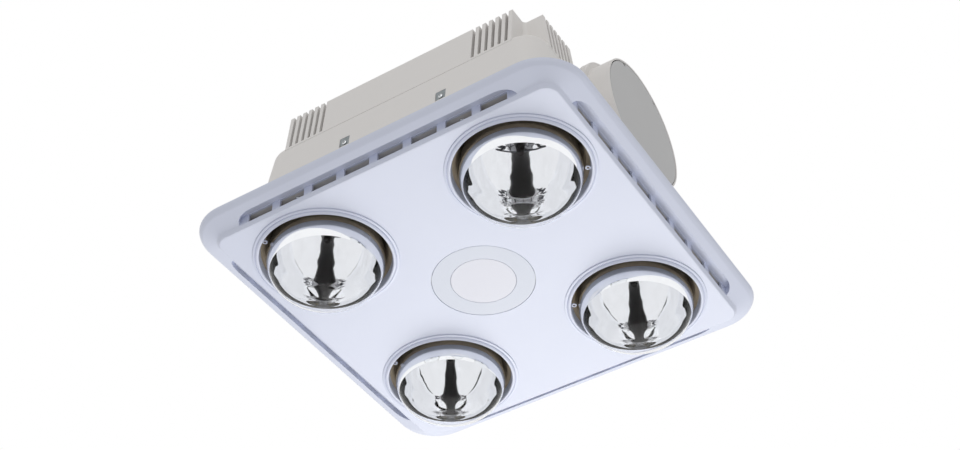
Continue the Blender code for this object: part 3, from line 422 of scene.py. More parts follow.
class Signal:
    """One socket's value in a node tree. Python's operators on it add Math nodes."""

    def __init__(self, graph: "Graph", socket: bpy.types.NodeSocket) -> None:
        """Wraps an output socket of a graph's node."""
        self.graph = graph
        self.socket = socket

    def _math(self, operation: str, *values: "float | Signal") -> "Signal":
        """The result of a Math node on these values."""
        made = self.graph.node("ShaderNodeMath", {"operation": operation}, dict(enumerate(values)))
        return Signal(self.graph, made.outputs[0])

    def __add__(self, other: "float | Signal") -> "Signal":
        """This value plus another."""
        return self._math("ADD", self, other)

    def __radd__(self, other: float) -> "Signal":
        """A number plus this value."""
        return self._math("ADD", other, self)

    def __sub__(self, other: "float | Signal") -> "Signal":
        """This value less another."""
        return self._math("SUBTRACT", self, other)

    def __rsub__(self, other: float) -> "Signal":
        """A number less this value."""
        return self._math("SUBTRACT", other, self)

    def __mul__(self, other: "float | Signal") -> "Signal":
        """This value times another."""
        return self._math("MULTIPLY", self, other)

    def __rmul__(self, other: float) -> "Signal":
        """A number times this value."""
        return self._math("MULTIPLY", other, self)

    def mixed(self, other: "Signal", share: float) -> "Signal":
        """A share of this value and the rest of another."""
        return self * share + other * (1 - share)

    def either(self, other: "Signal") -> "Signal":
        """The larger of this value and another."""
        return self._math("MAXIMUM", self, other)

    def limited(self) -> "Signal":
        """This value kept from 0 to 1."""
        return self._math("MAXIMUM", 0.0, self._math("MINIMUM", 1.0, self))


class Rays(Enum):
    """The kinds of ray that may be shown a shader of their own."""

    CAMERA = "Is Camera Ray"
    GLOSSY = "Is Glossy Ray"
    TRANSMISSION = "Is Transmission Ray"


class Graph:
    """The node tree of a material or of the world, round its main shader."""

    def __init__(self, tree: bpy.types.NodeTree, shader: str = "Principled BSDF") -> None:
        """Takes a tree as Blender makes it.

        Args:
            tree: The node tree.
            shader: The name of its main shader.
        """
        self.tree = tree
        self.shader = tree.nodes[shader]
        self._places: dict[Stretch, Signal] = {}

    def node(self, kind: str, settings: dict, inputs: dict) -> bpy.types.Node:
        """Adds a node.

        Args:
            kind: The node's type.
            settings: Values of its own, such as a Math node's operation, which are set first.
            inputs: Values or signals for its sockets, by name or number.

        Returns:
            The node.
        """
        made = self.tree.nodes.new(kind)
        for name, value in settings.items():
            setattr(made, name, value)
        for key, value in inputs.items():
            self.feed(made.inputs[key], value)
        return made

    def feed(self, socket: bpy.types.NodeSocket, value: "float | tuple | Signal") -> None:
        """Links a signal to a socket, or sets the socket's own value.

        Args:
            socket: An input socket.
            value: The signal, or the number, vector or colour.
        """
        if isinstance(value, Signal):
            self.tree.links.new(value.socket, socket)
        elif isinstance(value, tuple) and socket.type == "RGBA":
            socket.default_value = (*value, 1)
        else:
            socket.default_value = value

    def set(self, values: dict) -> None:
        """Gives the main shader values or signals by socket name."""
        for name, value in values.items():
            self.feed(self.shader.inputs[name], value)

    def place(self, stretch: Stretch) -> Signal:
        """Places on the object in metres.

        Args:
            stretch: How far they are stretched along its axes.

        Returns:
            The places as a vector.
        """
        if stretch not in self._places:
            spot = Signal(self, self.node("ShaderNodeTexCoord", {}, {}).outputs["Object"])
            drawn = self.node("ShaderNodeVectorMath", {"operation": "MULTIPLY"}, {0: spot, 1: stretch})
            self._places[stretch] = Signal(self, drawn.outputs[0])
        return self._places[stretch]

    def noise(self, size: float, detail: float, stretch: Stretch = EVEN) -> Signal:
        """Soft noise about its middle.

        Args:
            size: The size of its blobs in metres.
            detail: How many finer layers it has.
            stretch: How far it is stretched along the object's axes.

        Returns:
            The noise, from 0 to 1.
        """
        inputs = {"Vector": self.place(stretch), "Scale": 1 / size}
        inputs |= {"Detail": detail, "Roughness": NOISE_ROUGHNESS}
        return Signal(self, self.node("ShaderNodeTexNoise", {}, inputs).outputs["Fac"])

    def cells(self, size: float) -> Signal:
        """A grey for each cell of a mosaic.

        Args:
            size: The size of the cells in metres.

        Returns:
            The greys, from 0 to 1.
        """
        inputs = {"Vector": self.place(EVEN), "Scale": 1 / size}
        made = self.node("ShaderNodeTexVoronoi", {"feature": "F1"}, inputs)
        parts = self.node("ShaderNodeSeparateColor", {}, {0: Signal(self, made.outputs["Color"])})
        return Signal(self, parts.outputs[0])

    def blend(self, factor: Signal, first: Color, second: Color) -> Signal:
        """One colour going over to another."""
        made = self.node("ShaderNodeMix", {"data_type": "RGBA"}, {0: factor, 6: first, 7: second})
        return Signal(self, made.outputs[2])

    def bump(self, height: Signal, depth: float) -> Signal:
        """A normal from a height of 0 to 1 that stands for a depth in metres."""
        made = self.node("ShaderNodeBump", {}, {"Height": height, "Distance": depth, "Strength": 1.0})
        return Signal(self, made.outputs["Normal"])

    def show(self, other: bpy.types.Node, rays: Sequence[Rays], end: str) -> None:
        """Shows another shader in place of the main one to some kinds of ray.

        Args:
            other: The other shader's node.
            rays: The kinds of ray.
            end: The name of the tree's output node.
        """
        path = self.node("ShaderNodeLightPath", {}, {})
        seen = Signal(self, path.outputs[rays[0].value])
        for ray in rays[1:]:
            seen = seen.either(Signal(self, path.outputs[ray.value]))
        usual, shown = (Signal(self, shader.outputs[0]) for shader in (self.shader, other))
        mix = self.node("ShaderNodeMixShader", {}, {0: seen, 1: usual, 2: shown})
        self.feed(self.tree.nodes[end].inputs["Surface"], Signal(self, mix.outputs[0]))


def new_material(name: str) -> tuple[bpy.types.Material, Graph]:
    """Makes a material.

    Args:
        name: Its name.

    Returns:
        The material and its graph.
    """
    made = bpy.data.materials.new(name)
    made.use_nodes = True
    return made, Graph(made.node_tree)


def scaled(color: Color, share: float) -> Color:
    """A colour made lighter or darker."""
    return tuple(min(part * share, 1) for part in color)


@dataclass(frozen=True)
class Finish:
    """What every finish states: its name, the record's slot that it belongs to, and its plain look."""

    name: str
    slot: str
    color: Color
    roughness: float
    metallic: float = 0.0

    def material(self) -> bpy.types.Material:
        """Makes the finish as a material, once.

        Returns:
            The material.
        """
        if self.name not in bpy.data.materials:
            _, graph = new_material(self.name)
            graph.set({"Base Color": self.color, "Roughness": self.roughness, "Metallic": self.metallic})
            self.dress(graph)
        return bpy.data.materials[self.name]

    def dress(self, graph: Graph) -> None:
        """Adds what sets this finish apart."""

    def toned(self, graph: Graph, tone: Signal, darkest: float, lightest: float) -> Signal:
        """The finish's colour from darkest to lightest as a tone goes from 0 to 1."""
        return graph.blend(tone, scaled(self.color, darkest), scaled(self.color, lightest))

    def swayed(self, tone: Signal, sway: float) -> Signal:
        """The finish's roughness, made uneven by a tone."""
        return (self.roughness + (tone - MIDDLE) * sway).limited()


@dataclass(frozen=True)
class Moulding(Finish):
    """Moulded plastic: faint clouding in the colour, a fine grain and slightly uneven gloss."""

    clouding: float = 0.02
    cloud_size: float = 0.045
    cloud_share: float = 0.75
    sink_size: float = 0.018
    grain_size: float = 0.0006
    grain_depth: float = 0.000012
    grain_share: float = 0.7
    gloss: float = 0.45
    gloss_sway: float = 0.12
    coat: float = 0.0
    coat_roughness: float = 0.08

    def dress(self, graph: Graph) -> None:
        """Adds clouds, grain and gloss.

        Args:
            graph: The material's graph.
        """
        cloud = graph.noise(self.cloud_size, detail=3)
        grain = graph.noise(self.grain_size, detail=2)
        sink = graph.noise(self.sink_size, detail=1)
        tone = cloud.mixed(sink, self.cloud_share).limited()
        graph.set(
            {
                "Base Color": self.toned(graph, tone, 1 - self.clouding, 1 + self.clouding),
                "Roughness": self.swayed(cloud, self.gloss_sway),
                "Normal": graph.bump(grain.mixed(sink, self.grain_share), self.grain_depth),
                "Coat Weight": self.coat,
                "Coat Roughness": self.coat_roughness,
                "Specular IOR Level": self.gloss,
            }
        )


@dataclass(frozen=True)
class PressedSheet(Finish):
    """Dull coated sheet: streaks from the press, a slight orange peel and darker smudges."""

    streak_size: float = 0.004
    streak_stretch: Stretch = (1, 1, 0.12)
    streak_share: float = 0.5
    smudge_size: float = 0.02
    darkest: float = 0.72
    lightest: float = 1.3
    gloss_sway: float = 0.35
    peel_share: float = 0.6
    peel_depth: float = 0.00012

    def dress(self, graph: Graph) -> None:
        """Adds streaks, peel and smudges.

        Args:
            graph: The material's graph.
        """
        streak = graph.noise(self.streak_size, detail=3, stretch=self.streak_stretch)
        smudge = graph.noise(self.smudge_size, detail=4)
        tone = streak.mixed(smudge, self.streak_share).limited()
        graph.set(
            {
                "Base Color": self.toned(graph, tone, self.darkest, self.lightest),
                "Roughness": self.swayed(smudge, self.gloss_sway),
                "Normal": graph.bump(smudge.mixed(streak, self.peel_share), self.peel_depth),
            }
        )


@dataclass(frozen=True)
class Galvanised(Finish):
    """Zinc-coated steel with its spangle."""

    spangle: float = 0.0035
    flake_share: float = 0.6
    flake_sway: float = 0.18
    haze_size: float = 0.012
    scratch_size: float = 0.0007
    scratch_stretch: Stretch = (0.06, 1, 1)
    scratch_share: float = 0.5
    scratch_sway: float = 0.1
    scratch_depth: float = 0.00003
    darkest: float = 0.78
    lightest: float = 1.2

    def dress(self, graph: Graph) -> None:
        """Adds spangle, haze and scratches.

        Args:
            graph: The material's graph.
        """
        flake = graph.cells(self.spangle)
        haze = graph.noise(self.haze_size, detail=4)
        scratch = graph.noise(self.scratch_size, detail=2, stretch=self.scratch_stretch)
        tone = flake.mixed(haze, self.flake_share).limited()
        uneven = (flake - MIDDLE) * self.flake_sway + (scratch - MIDDLE) * self.scratch_sway
        graph.set(
            {
                "Base Color": self.toned(graph, tone, self.darkest, self.lightest),
                "Roughness": (self.roughness + uneven).limited(),
                "Normal": graph.bump(scratch.mixed(haze, self.scratch_share), self.scratch_depth),
            }
        )


@dataclass(frozen=True)
class Turned(Finish):
    """Plated or drawn metal with fine lines from its making and a little tarnish."""

    tarnish: float = 0.15
    lightest: float = 1.1
    gloss: float = 0.5
    gloss_sway: float = 0.3
    stain_size: float = 0.006
    line_size: float = 0.0005
    line_stretch: Stretch = (0.1, 0.1, 1)
    line_depth: float = 0.00002

    def dress(self, graph: Graph) -> None:
        """Adds lines and tarnish.

        Args:
            graph: The material's graph.
        """
        line = graph.noise(self.line_size, detail=2, stretch=self.line_stretch)
        stain = graph.noise(self.stain_size, detail=4)
        graph.set(
            {
                "Base Color": self.toned(graph, stain, 1 - self.tarnish, self.lightest),
                "Roughness": self.swayed(stain, self.gloss_sway),
                "Normal": graph.bump(line, self.line_depth),
                "Specular IOR Level": self.gloss,
            }
        )


@dataclass(frozen=True)
class Ceramic(Finish):
    """Glazed ceramic: a faint speckle under an uneven glaze."""

    speck_size: float = 0.0009
    darkest: float = 0.86
    lightest: float = 1.08
    pool_size: float = 0.009
    pool_depth: float = 0.0001
    gloss_sway: float = 0.2
    glaze: float = 0.5
    glaze_roughness: float = 0.12

    def dress(self, graph: Graph) -> None:
        """Adds speckle and glaze.

        Args:
            graph: The material's graph.
        """
        speck = graph.noise(self.speck_size, detail=3)
        pool = graph.noise(self.pool_size, detail=2)
        graph.set(
            {
                "Base Color": self.toned(graph, speck, self.darkest, self.lightest),
                "Roughness": self.swayed(pool, self.gloss_sway),
                "Normal": graph.bump(pool, self.pool_depth),
                "Coat Weight": self.glaze,
                "Coat Roughness": self.glaze_roughness,
            }
        )


@dataclass(frozen=True)
class Glass(Finish):
    """Blown glass: clear, with slow waves and an index low enough to reflect little."""

    wave_size: float = 0.02
    wave_depth: float = 0.00003
    index: float = 1.15

    def dress(self, graph: Graph) -> None:
        """Adds waves and the light that goes through.

        Args:
            graph: The material's graph.
        """
        wave = graph.noise(self.wave_size, detail=1)
        graph.set(
            {
                "Transmission Weight": 1.0,
                "IOR": self.index,
                "Normal": graph.bump(wave, self.wave_depth),
            }
        )


@dataclass(frozen=True)
class Silvering(Finish):
    """The bulb's mirror coat: bright, with slow waves and a fine speckle of the coat."""

    wave_size: float = 0.016
    wave_depth: float = 0.00008
    wave_share: float = 0.96
    speck_size: float = 0.0008
    haze_size: float = 0.014
    darkest: float = 0.94
    lightest: float = 1.04
    gloss_sway: float = 0.05

    def dress(self, graph: Graph) -> None:
        """Adds waves, speckle and haze.

        Args:
            graph: The material's graph.
        """
        wave = graph.noise(self.wave_size, detail=1)
        speck = graph.noise(self.speck_size, detail=2)
        haze = graph.noise(self.haze_size, detail=3)
        graph.set(
            {
                "Base Color": self.toned(graph, haze, self.darkest, self.lightest),
                "Roughness": self.swayed(speck, self.gloss_sway),
                "Normal": graph.bump(wave.mixed(speck, self.wave_share), self.wave_depth),
            }
        )


class Finishes:
    """Every finish on the unit."""

    fascia = Moulding("satin_moulding", "moulded_white", paint(225, 230, 247), 0.42, coat=0.15)
    ring = Moulding("bead_moulding", "ring_white", paint(224, 229, 247), 0.34, coat=0.2)
    bowl = PressedSheet("recess_metal", "bowl_metal", paint(178, 163, 142), 0.55, 0.1)
    glass = Glass("bulb_clear_glass", "lamp_glass", (0.98, 0.985, 0.99), 0.0)
    silver = Silvering("bulb_mirror_coat", "lamp_glass", (0.94, 0.945, 0.96), 0.02, 1.0)
    stem = Ceramic("stem_glass_tube", "stem_glass", paint(214, 214, 218), 0.15)
    # The flare's near-black colour is painted shade: the dark look of the glass inside the bulb, given as
    # its colour.
    flare = Turned("stem_flare_painted_shade", "stem_glass", paint(20, 14, 16), 0.35, tarnish=0.5, gloss=0.15)
    tungsten = Turned("filament_wire", "zinc_plate", paint(84, 84, 90), 0.45, 0.6)
    brass = Turned("cap_plating", "cap_brass", paint(206, 180, 120), 0.28, 1.0)
    ceramic = Ceramic("holder_glaze", "holder_ceramic", paint(224, 220, 208), 0.4)
    steel = Galvanised("galvanised_sheet", "galvanised_steel", paint(138, 144, 146), 0.4, 0.6)
    zinc = Turned("screw_plating", "zinc_plate", paint(206, 208, 210), 0.25, 1.0)
    opal = Moulding(
        "diffuser_opal", "opal_diffuser", paint(240, 241, 250), 0.5, clouding=0.006, grain_size=0.0009
    )
    trim = Moulding("downlight_moulding", "ring_white", paint(222, 227, 239), 0.4, clouding=0.01)
    board = Moulding("board_mask", "board_white", paint(232, 234, 235), 0.35)
    aluminium = Turned("heat_sink_casting", "cast_aluminium", paint(196, 198, 200), 0.42, 1.0)
    grey = Moulding("grey_moulding", "grey_plastic", paint(196, 196, 196), 0.5)
    housing = Moulding(
        "housing_moulding",
        "housing_white",
        paint(234, 231, 228),
        0.55,
        grain_size=0.0008,
        grain_depth=0.00002,
    )
    black = Moulding("black_moulding", "black_plastic", paint(38, 38, 40), 0.5, clouding=0.1)


def add(
    name: str, shape: Shape, finish: Finish, body: str = "root", stands_for: Sequence[str] = ()
) -> None:
    """Puts a finished piece on its body.

    Args:
        name: The piece's name.
        shape: Its mesh in the making, which is used up.
        finish: What it is made of.
        body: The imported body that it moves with.
        stands_for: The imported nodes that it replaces.
    """
    mesh = shape.data(name)
    mesh.shade_smooth()
    mesh.set_sharp_from_angle(angle=SHARP)
    mesh.materials.append(finish.material())
    piece = bpy.data.objects.new(name, mesh)
    bpy.context.scene.collection.objects.link(piece)
    even = piece.modifiers.new("even_normals", "WEIGHTED_NORMAL")
    even.keep_sharp = True
    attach(piece, body)
    if stands_for:
        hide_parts(*stands_for)
    log.info("%s: %d faces on %s", name, len(mesh.polygons), body)


def dress(node: str, finish: Finish) -> None:
    """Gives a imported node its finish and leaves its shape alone.

    Args:
        node: The node's name.
        finish: What it is made of.
    """
    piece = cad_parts[node]
    piece.data.materials.clear()
    piece.data.materials.append(finish.material())
    log.info("%s: dressed", node)


def square(half: float, corner: float, height: float) -> Ring:
    """A square outline with round corners at one height."""
    return [(x, y, height) for x, y in rounded(half, half, corner)]


@dataclass
class Fascia:
    """The white moulding: a proud panel in a sloped rim, with a channel of windows along each side."""

    panel_half: float = 0.204
    panel_corner: float = 0.015
    panel_drop: float = 0.018
    edge_out: float = 0.0024
    edge_rise: float = 0.0046
    wall: float = 0.0025
    rim_out: float = 0.026
    rim_corner: float = 0.050
    strip_in: float = 0.005
    strip_drop: float = 0.006
    round_in: float = 0.0015
    round_drop: float = 0.003
    edge_ease: float = 0.0012
    lip_ease: float = 0.0011
    lip_profile: float = 0.5
    channel_set_in: float = 0.0002
    channel_width: float = 0.0108
    channel_roof: float = 0.0024
    channel_gap: float = 0.0363
    channel_end: float = 0.0217
    windows: int = 8
    window_rib: float = 0.0098
    window_margin: float = 0.011
    window_sill: float = 0.0006
    lamp_out: float = 0.120
    lamp_hole: float = 0.074
    light_hole: float = 0.0561

    def build(self) -> None:
        """Makes the moulding."""
        half = self.panel_half + self.rim_out
        foot = self.panel_half + self.edge_out
        sill = self.edge_rise - self.panel_drop
        line = [
            (self.panel_half - self.panel_corner / 2, -self.panel_drop),
            (self.panel_half, -self.panel_drop),
            (foot, sill),
            (half - self.strip_in, -self.strip_drop),
            (half - self.round_in, -self.round_drop),
            (half, 0),
        ]
        rings = []
        for out, height in eased(line, self.edge_ease):
            share = max(0, (out - foot) / (half - foot))
            corner = self.panel_corner + min(out, foot) - self.panel_half
            corner += share * (self.rim_corner - self.panel_corner - self.edge_out)
            rings.append(square(out, corner, height))
        cuts = (self._cavity(), self._channels(), self._windows(), self._holes())
        moulding = Shape().loft(rings).carved(Carving.CUT, *cuts)
        self._ease_lips(moulding)
        add("fascia_moulding", moulding, Finishes.fascia, stands_for=["fascia"])

    def _cavity(self) -> Shape:
        """The hollow behind the panel.

        Returns:
            The shape to cut away.
        """
        half = self.panel_half + self.edge_out - self.wall
        corner = self.panel_corner + self.edge_out - self.wall
        heights = (self.wall - self.panel_drop, OVERRUN)
        return Shape().loft([square(half, corner, height) for height in heights])

    def _channel_plan(self) -> Plan:
        """One channel seen from below, with its ends curved in.

        Returns:
            The plan's points.
        """
        wall = self.panel_half + self.edge_out - self.channel_set_in
        straight = self.panel_half - self.channel_gap - self.channel_end
        bend = []
        for i in range(CORNER_STEPS + 1):
            a = math.pi / 2 * i / CORNER_STEPS
            along = straight + self.channel_end * math.cos(a)
            bend.append((wall + self.channel_width * math.sin(a), along))
        return bend + [(out, -along) for out, along in reversed(bend)]

    def _channels(self) -> Shape:
        """The four sunk channels.

        Returns:
            The shape to cut away.
        """
        made = Shape()
        for side in range(4):
            plan = quarter_turned(self._channel_plan(), side)
            made.prism(plan, -self.panel_drop - OVERRUN, -self.channel_roof)
        return made

    def _windows(self) -> Shape:
        """The air windows in the channels' inner walls.

        Returns:
            The shape to cut away.
        """
        made = Shape()
        span = 2 * (self.panel_half - self.channel_gap - self.window_margin)
        pitch = (span + self.window_rib) / self.windows
        foot = self.panel_half + self.edge_out
        low = self.edge_rise - self.panel_drop
        high = -self.channel_roof - self.window_sill
        for side in range(4):
            for i in range(self.windows):
                start = i * pitch - span / 2
                end = start + pitch - self.window_rib
                hole = rectangle(foot - self.wall - OVERRUN, foot + OVERRUN, start, end)
                made.prism(quarter_turned(hole, side), low, high)
        return made

    def _holes(self) -> Shape:
        """The four lamp holes and the downlight's.

        Returns:
            The shape to cut away.
        """
        low = -self.panel_drop - OVERRUN
        high = self.wall - self.panel_drop + OVERRUN
        made = Shape().prism(circle(self.light_hole, ROUND_STEPS), low, high)
        for side_x, side_y in CORNERS:
            middle = (side_x * self.lamp_out, side_y * self.lamp_out)
            made.prism(circle(self.lamp_hole, ROUND_STEPS, middle), low, high)
        return made

    def _ease_lips(self, moulding: Shape) -> None:
        """Rounds the channels' outer lips.

        Args:
            moulding: The carved moulding, which is changed.
        """
        foot = self.panel_half + self.edge_out
        outer = foot - self.channel_set_in + self.channel_width
        roof = -self.channel_roof - GAP
        lips = []
        for edge in moulding.mesh.edges:
            if len(edge.link_faces) != 2 or edge.calc_face_angle(0) < SHARP:
                continue
            middle = (edge.verts[0].co + edge.verts[1].co) / 2
            out = max(abs(middle.x), abs(middle.y))
            if foot + GAP < out < outer + GAP and middle.z < roof:
                lips.append(edge)
        bmesh.ops.bevel(
            moulding.mesh,
            geom=lips,
            offset=self.lip_ease,
            segments=EASE_STEPS,
            profile=self.lip_profile,
            affect="EDGES",
            clamp_overlap=True,
        )


@dataclass
class Recess:
    """One lamp's trim ring with its eyelet, and the pressed bowl behind it."""

    number: int
    middle: tuple[float, float]
    eyelet_turn: float
    hole: float = 0.074
    face: float = 0.0035
    depth: float = 0.003
    bore: float = 0.0703
    panel_drop: float = 0.018
    panel_back: float = -0.0155
    neck_rise: float = 0.0032
    face_shares: tuple = ((1.0, 0.10), (0.97, 0.34), (0.66, 0.46), (0.63, 0.22), (0.59, 0.22))
    bead_shares: tuple = ((0.56, 0.56), (0.42, 0.88), (0.24, 1.0), (0.08, 0.92), (0.0, 0.6))
    taper: float = 0.0012
    eye_radius: float = 0.0029
    eye_hole: float = 0.0014
    eye_height: float = 0.0016
    eye_sink: float = 0.0006
    eye_ease: float = 0.0006
    sheet: float = 0.0008
    flange: float = 0.006
    lip: float = 0.0005
    shoulder_in: float = 0.004
    shoulder_rise: float = 0.0043
    bulb_gap: float = 0.0035
    top: float = 0.0828
    back: tuple = ((0.0608, -0.0027), (0.0519, 0.0297), (0.0331, 0.056), (0.0198, 0.075))

    def build(self) -> None:
        """Makes the ring and the bowl."""
        self._ring()
        self._bowl()

    def _ring(self) -> None:
        """The round bead with its neck through the panel."""
        foot = -self.panel_drop - GAP
        neck = self.hole - GAP
        neck_top = self.panel_back + self.neck_rise
        width = self.hole + self.face - self.bore
        face, bead = (
            [(self.bore + width * out, foot - self.depth * down) for out, down in shares]
            for shares in (self.face_shares, self.bead_shares)
        )
        profile = [(self.hole + self.face, foot), *face, *smoothed(bead, BEND_STEPS)]
        profile += [(self.bore - self.taper, neck_top), (neck, neck_top)]
        ring = Shape().lathe([*profile, (neck, foot)])
        low = neck_top - self.eye_height - self.eye_radius / 2
        outline = rectangle(self.eye_hole, self.eye_radius, low, low + self.eye_height)
        reach = self.bore - self.taper + self.eye_sink - self.eye_radius
        eye = Shape().lathe(eased(outline, self.eye_ease, closed=True), SMALL_STEPS)
        eye.moved(reach * math.cos(self.eyelet_turn), reach * math.sin(self.eyelet_turn), 0)
        ring = ring.carved(Carving.JOIN, eye).moved(*self.middle, 0)
        add(f"bead_ring_{self.number}", ring, Finishes.ring, stands_for=[f"trim_ring_{self.number}"])

    def _bowl(self) -> None:
        """The pressed bowl that follows the bulb's back."""
        foot = self.hole + self.lip
        seat = self.panel_back + GAP
        ledge = self.panel_back + self.neck_rise + GAP
        shoulder = self.bore - GAP
        back = [(radius + self.bulb_gap, height) for radius, height in self.back]
        end = back[-1][0] - self.bulb_gap / 2
        rise = (shoulder - self.shoulder_in, ledge + self.shoulder_rise)
        inner = smoothed([(shoulder, ledge), rise, *back, (end, self.top)], SWEEP_STEPS)
        outer = [(radius + self.sheet, height) for radius, height in inner[1:]]
        step = ledge + self.sheet
        profile = [(foot, seat), (foot, ledge), *inner, *reversed(outer), (shoulder + self.sheet, step)]
        profile += [(foot + self.sheet, step), (foot + self.sheet, seat + self.sheet)]
        profile += [(foot + self.flange, seat + self.sheet), (foot + self.flange, seat)]
        bowl = Shape().lathe(profile).moved(*self.middle, 0)
        add(f"recess_bowl_{self.number}", bowl, Finishes.bowl, stands_for=[f"reflector_bowl_{self.number}"])


@dataclass
class HeatLamp:
    """One screw-in reflector lamp: envelope, silvering, stem with its filament, and screw cap."""

    number: int
    middle: tuple[float, float]
    radius: float = 0.0625
    belly: float = -0.020
    dome: float = 0.045
    dome_power: float = 2.3
    dome_steps: int = 26
    back: float = 0.108
    back_shares: tuple = (
        (0.111, 0.980),
        (0.213, 0.964),
        (0.315, 0.926),
        (0.417, 0.864),
        (0.50, 0.795),
        (0.583, 0.704),
        (0.648, 0.616),
        (0.704, 0.530),
        (0.796, 0.400),
        (0.898, 0.300),
    )
    glass: float = 0.0012
    neck_hole: float = 0.012
    silver_sheet: float = 0.00006
    silver_low: float = -0.039
    silver_high: float = 0.072
    stem_radius: float = 0.006
    stem_foot: float = 0.0118
    stem_waist: float = 0.048
    stem_rise: float = 0.006
    stem_neck: float = 0.012
    stem_rim: float = 0.001
    stem_ease: float = 0.0008
    flare: tuple = ((0.004, 0.008), (0.0045, 0.0156), (0.0061, 0.021), (0.0100, 0.030))
    flare_tip: tuple = ((0, -0.002), (0.7, -0.0015))
    coil_turn: float = math.tau * 0.94
    coil_start: float = 0.4
    coil_radius: float = 0.0165
    coil_swing: float = 0.0024
    coil_height: float = 0.033
    coil_rise: float = 0.001
    coil_wire: float = 0.0006
    coil_points: int = 17
    support_wire: float = 0.0003
    support_sides: int = 6
    support_bow: float = 0.002
    cap_radius: float = 0.0133
    cap_length: float = 0.024
    cap_wall: float = 0.002
    cap_shoulder: float = 0.0035
    cap_tip_radius: float = 0.005
    cap_tip: float = 0.0035
    cap_tip_edge: float = 0.001
    cap_tip_flat: float = 0.6
    thread_pitch: float = 0.0036
    thread_depth: float = 0.0009
    thread_rows: int = 60
    thread_fade: int = 6

    @property
    def glass_top(self) -> float:
        """Where the envelope's neck ends."""
        return self.belly + self.back

    def build(self) -> None:
        """Makes the lamp's pieces, which all leave with it."""
        body = f"lamp_{self.number}"
        outside = self._outside()
        inside = offset(outside, self.glass)
        inside[-1] = (self.neck_hole, self.glass_top)
        envelope = Shape().lathe([*outside, *reversed(inside)], FINE_STEPS).moved(*self.middle, 0)
        add(f"bulb_glass_{self.number}", envelope, Finishes.glass, body, [f"lamp_envelope_{self.number}"])
        self._silvering(outside, body)
        self._stem(body)
        self._filament(body)
        self._cap(body)

    def _outside(self) -> Plan:
        """The envelope's outer profile from tip to neck.

        Returns:
            Radii and heights.
        """
        front = []
        for i in range(self.dome_steps + 1):
            a = math.pi / 2 * (i / self.dome_steps)
            out = self.radius * math.sin(a) ** (2 / self.dome_power)
            front.append((out if i else 0, self.belly - self.dome * math.cos(a) ** (2 / self.dome_power)))
        shoulder = [(self.radius * out, self.belly + self.back * up) for up, out in self.back_shares]
        neck = (self.neck_hole + self.glass, self.glass_top)
        behind = smoothed([front[-1], *shoulder, neck], SWEEP_STEPS)
        return front + behind[1:]

    def _silvering(self, outside: Plan, body: str) -> None:
        """The mirror coat on the inside of the bulb's back.

        Args:
            outside: The envelope's outer profile.
            body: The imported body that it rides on.
        """
        low, high = self.silver_low, self.silver_high
        back = [(out, height) for out, height in outside if low <= height <= high and out > 0]
        outer = offset(back, self.glass + self.silver_sheet)
        inner = offset(back, self.glass + 2 * self.silver_sheet)
        coat = Shape().lathe([*outer, *reversed(inner)], FINE_STEPS).moved(*self.middle, 0)
        add(f"bulb_silvering_{self.number}", coat, Finishes.silver, body)

    def _stem(self, body: str) -> None:
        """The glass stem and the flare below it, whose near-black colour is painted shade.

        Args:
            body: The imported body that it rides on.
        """
        seat = self.neck_hole - GAP
        top = self.glass_top
        tip = self.flare[0][1]
        foot = self.flare[-1][1] + GAP
        profile = [(0, top + self.stem_rise), (seat, top + self.stem_rise), (seat, top - GAP)]
        profile += [(self.stem_radius, top - self.stem_neck), (self.stem_radius, self.stem_waist)]
        profile += [(self.stem_foot, foot + self.stem_rim), (self.stem_foot, foot), (0, foot)]
        stem = Shape().lathe(eased(profile, self.stem_ease), SMALL_STEPS).moved(*self.middle, 0)
        add(f"bulb_stem_{self.number}", stem, Finishes.stem, body, [f"lamp_stem_{self.number}"])
        blunt = [(self.flare[0][0] * share, tip + drop) for share, drop in self.flare_tip]
        flare = [*blunt, *smoothed(list(self.flare), BEND_STEPS), (0, foot - GAP)]
        # The flare's near-black finish is painted shade standing in for the glass there.
        core = Shape().lathe(flare, SMALL_STEPS).moved(*self.middle, 0)
        add(f"bulb_flare_{self.number}", core, Finishes.flare, body)

    def _filament(self, body: str) -> None:
        """The filament as a coiled zigzag ring on its support wires.

        Args:
            body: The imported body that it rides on.
        """
        wires = Shape()
        path = []
        for i in range(self.coil_points * 2 + 1):
            a = self.coil_turn * i / (self.coil_points * 2) + self.coil_start
            swing = self.coil_radius + self.coil_swing * (1 if i % 2 else -1)
            rise = self.coil_height + self.coil_rise * (i % 2)
            path.append(Vector((swing * math.cos(a), swing * math.sin(a), rise)))
        wires.wire(path, self.coil_wire)
        for spot in path[::2]:
            hub = Vector((spot.x, spot.y, 0)).normalized() * (self.stem_foot - GAP)
            hub.z = self.flare[-1][1] + GAP * 2
            bow = (hub + spot) / 2 + Vector((0, 0, self.support_bow))
            wires.wire([hub, bow, spot], self.support_wire, self.support_sides)
        wires.moved(*self.middle, 0)
        add(f"bulb_filament_{self.number}", wires, Finishes.tungsten, body)

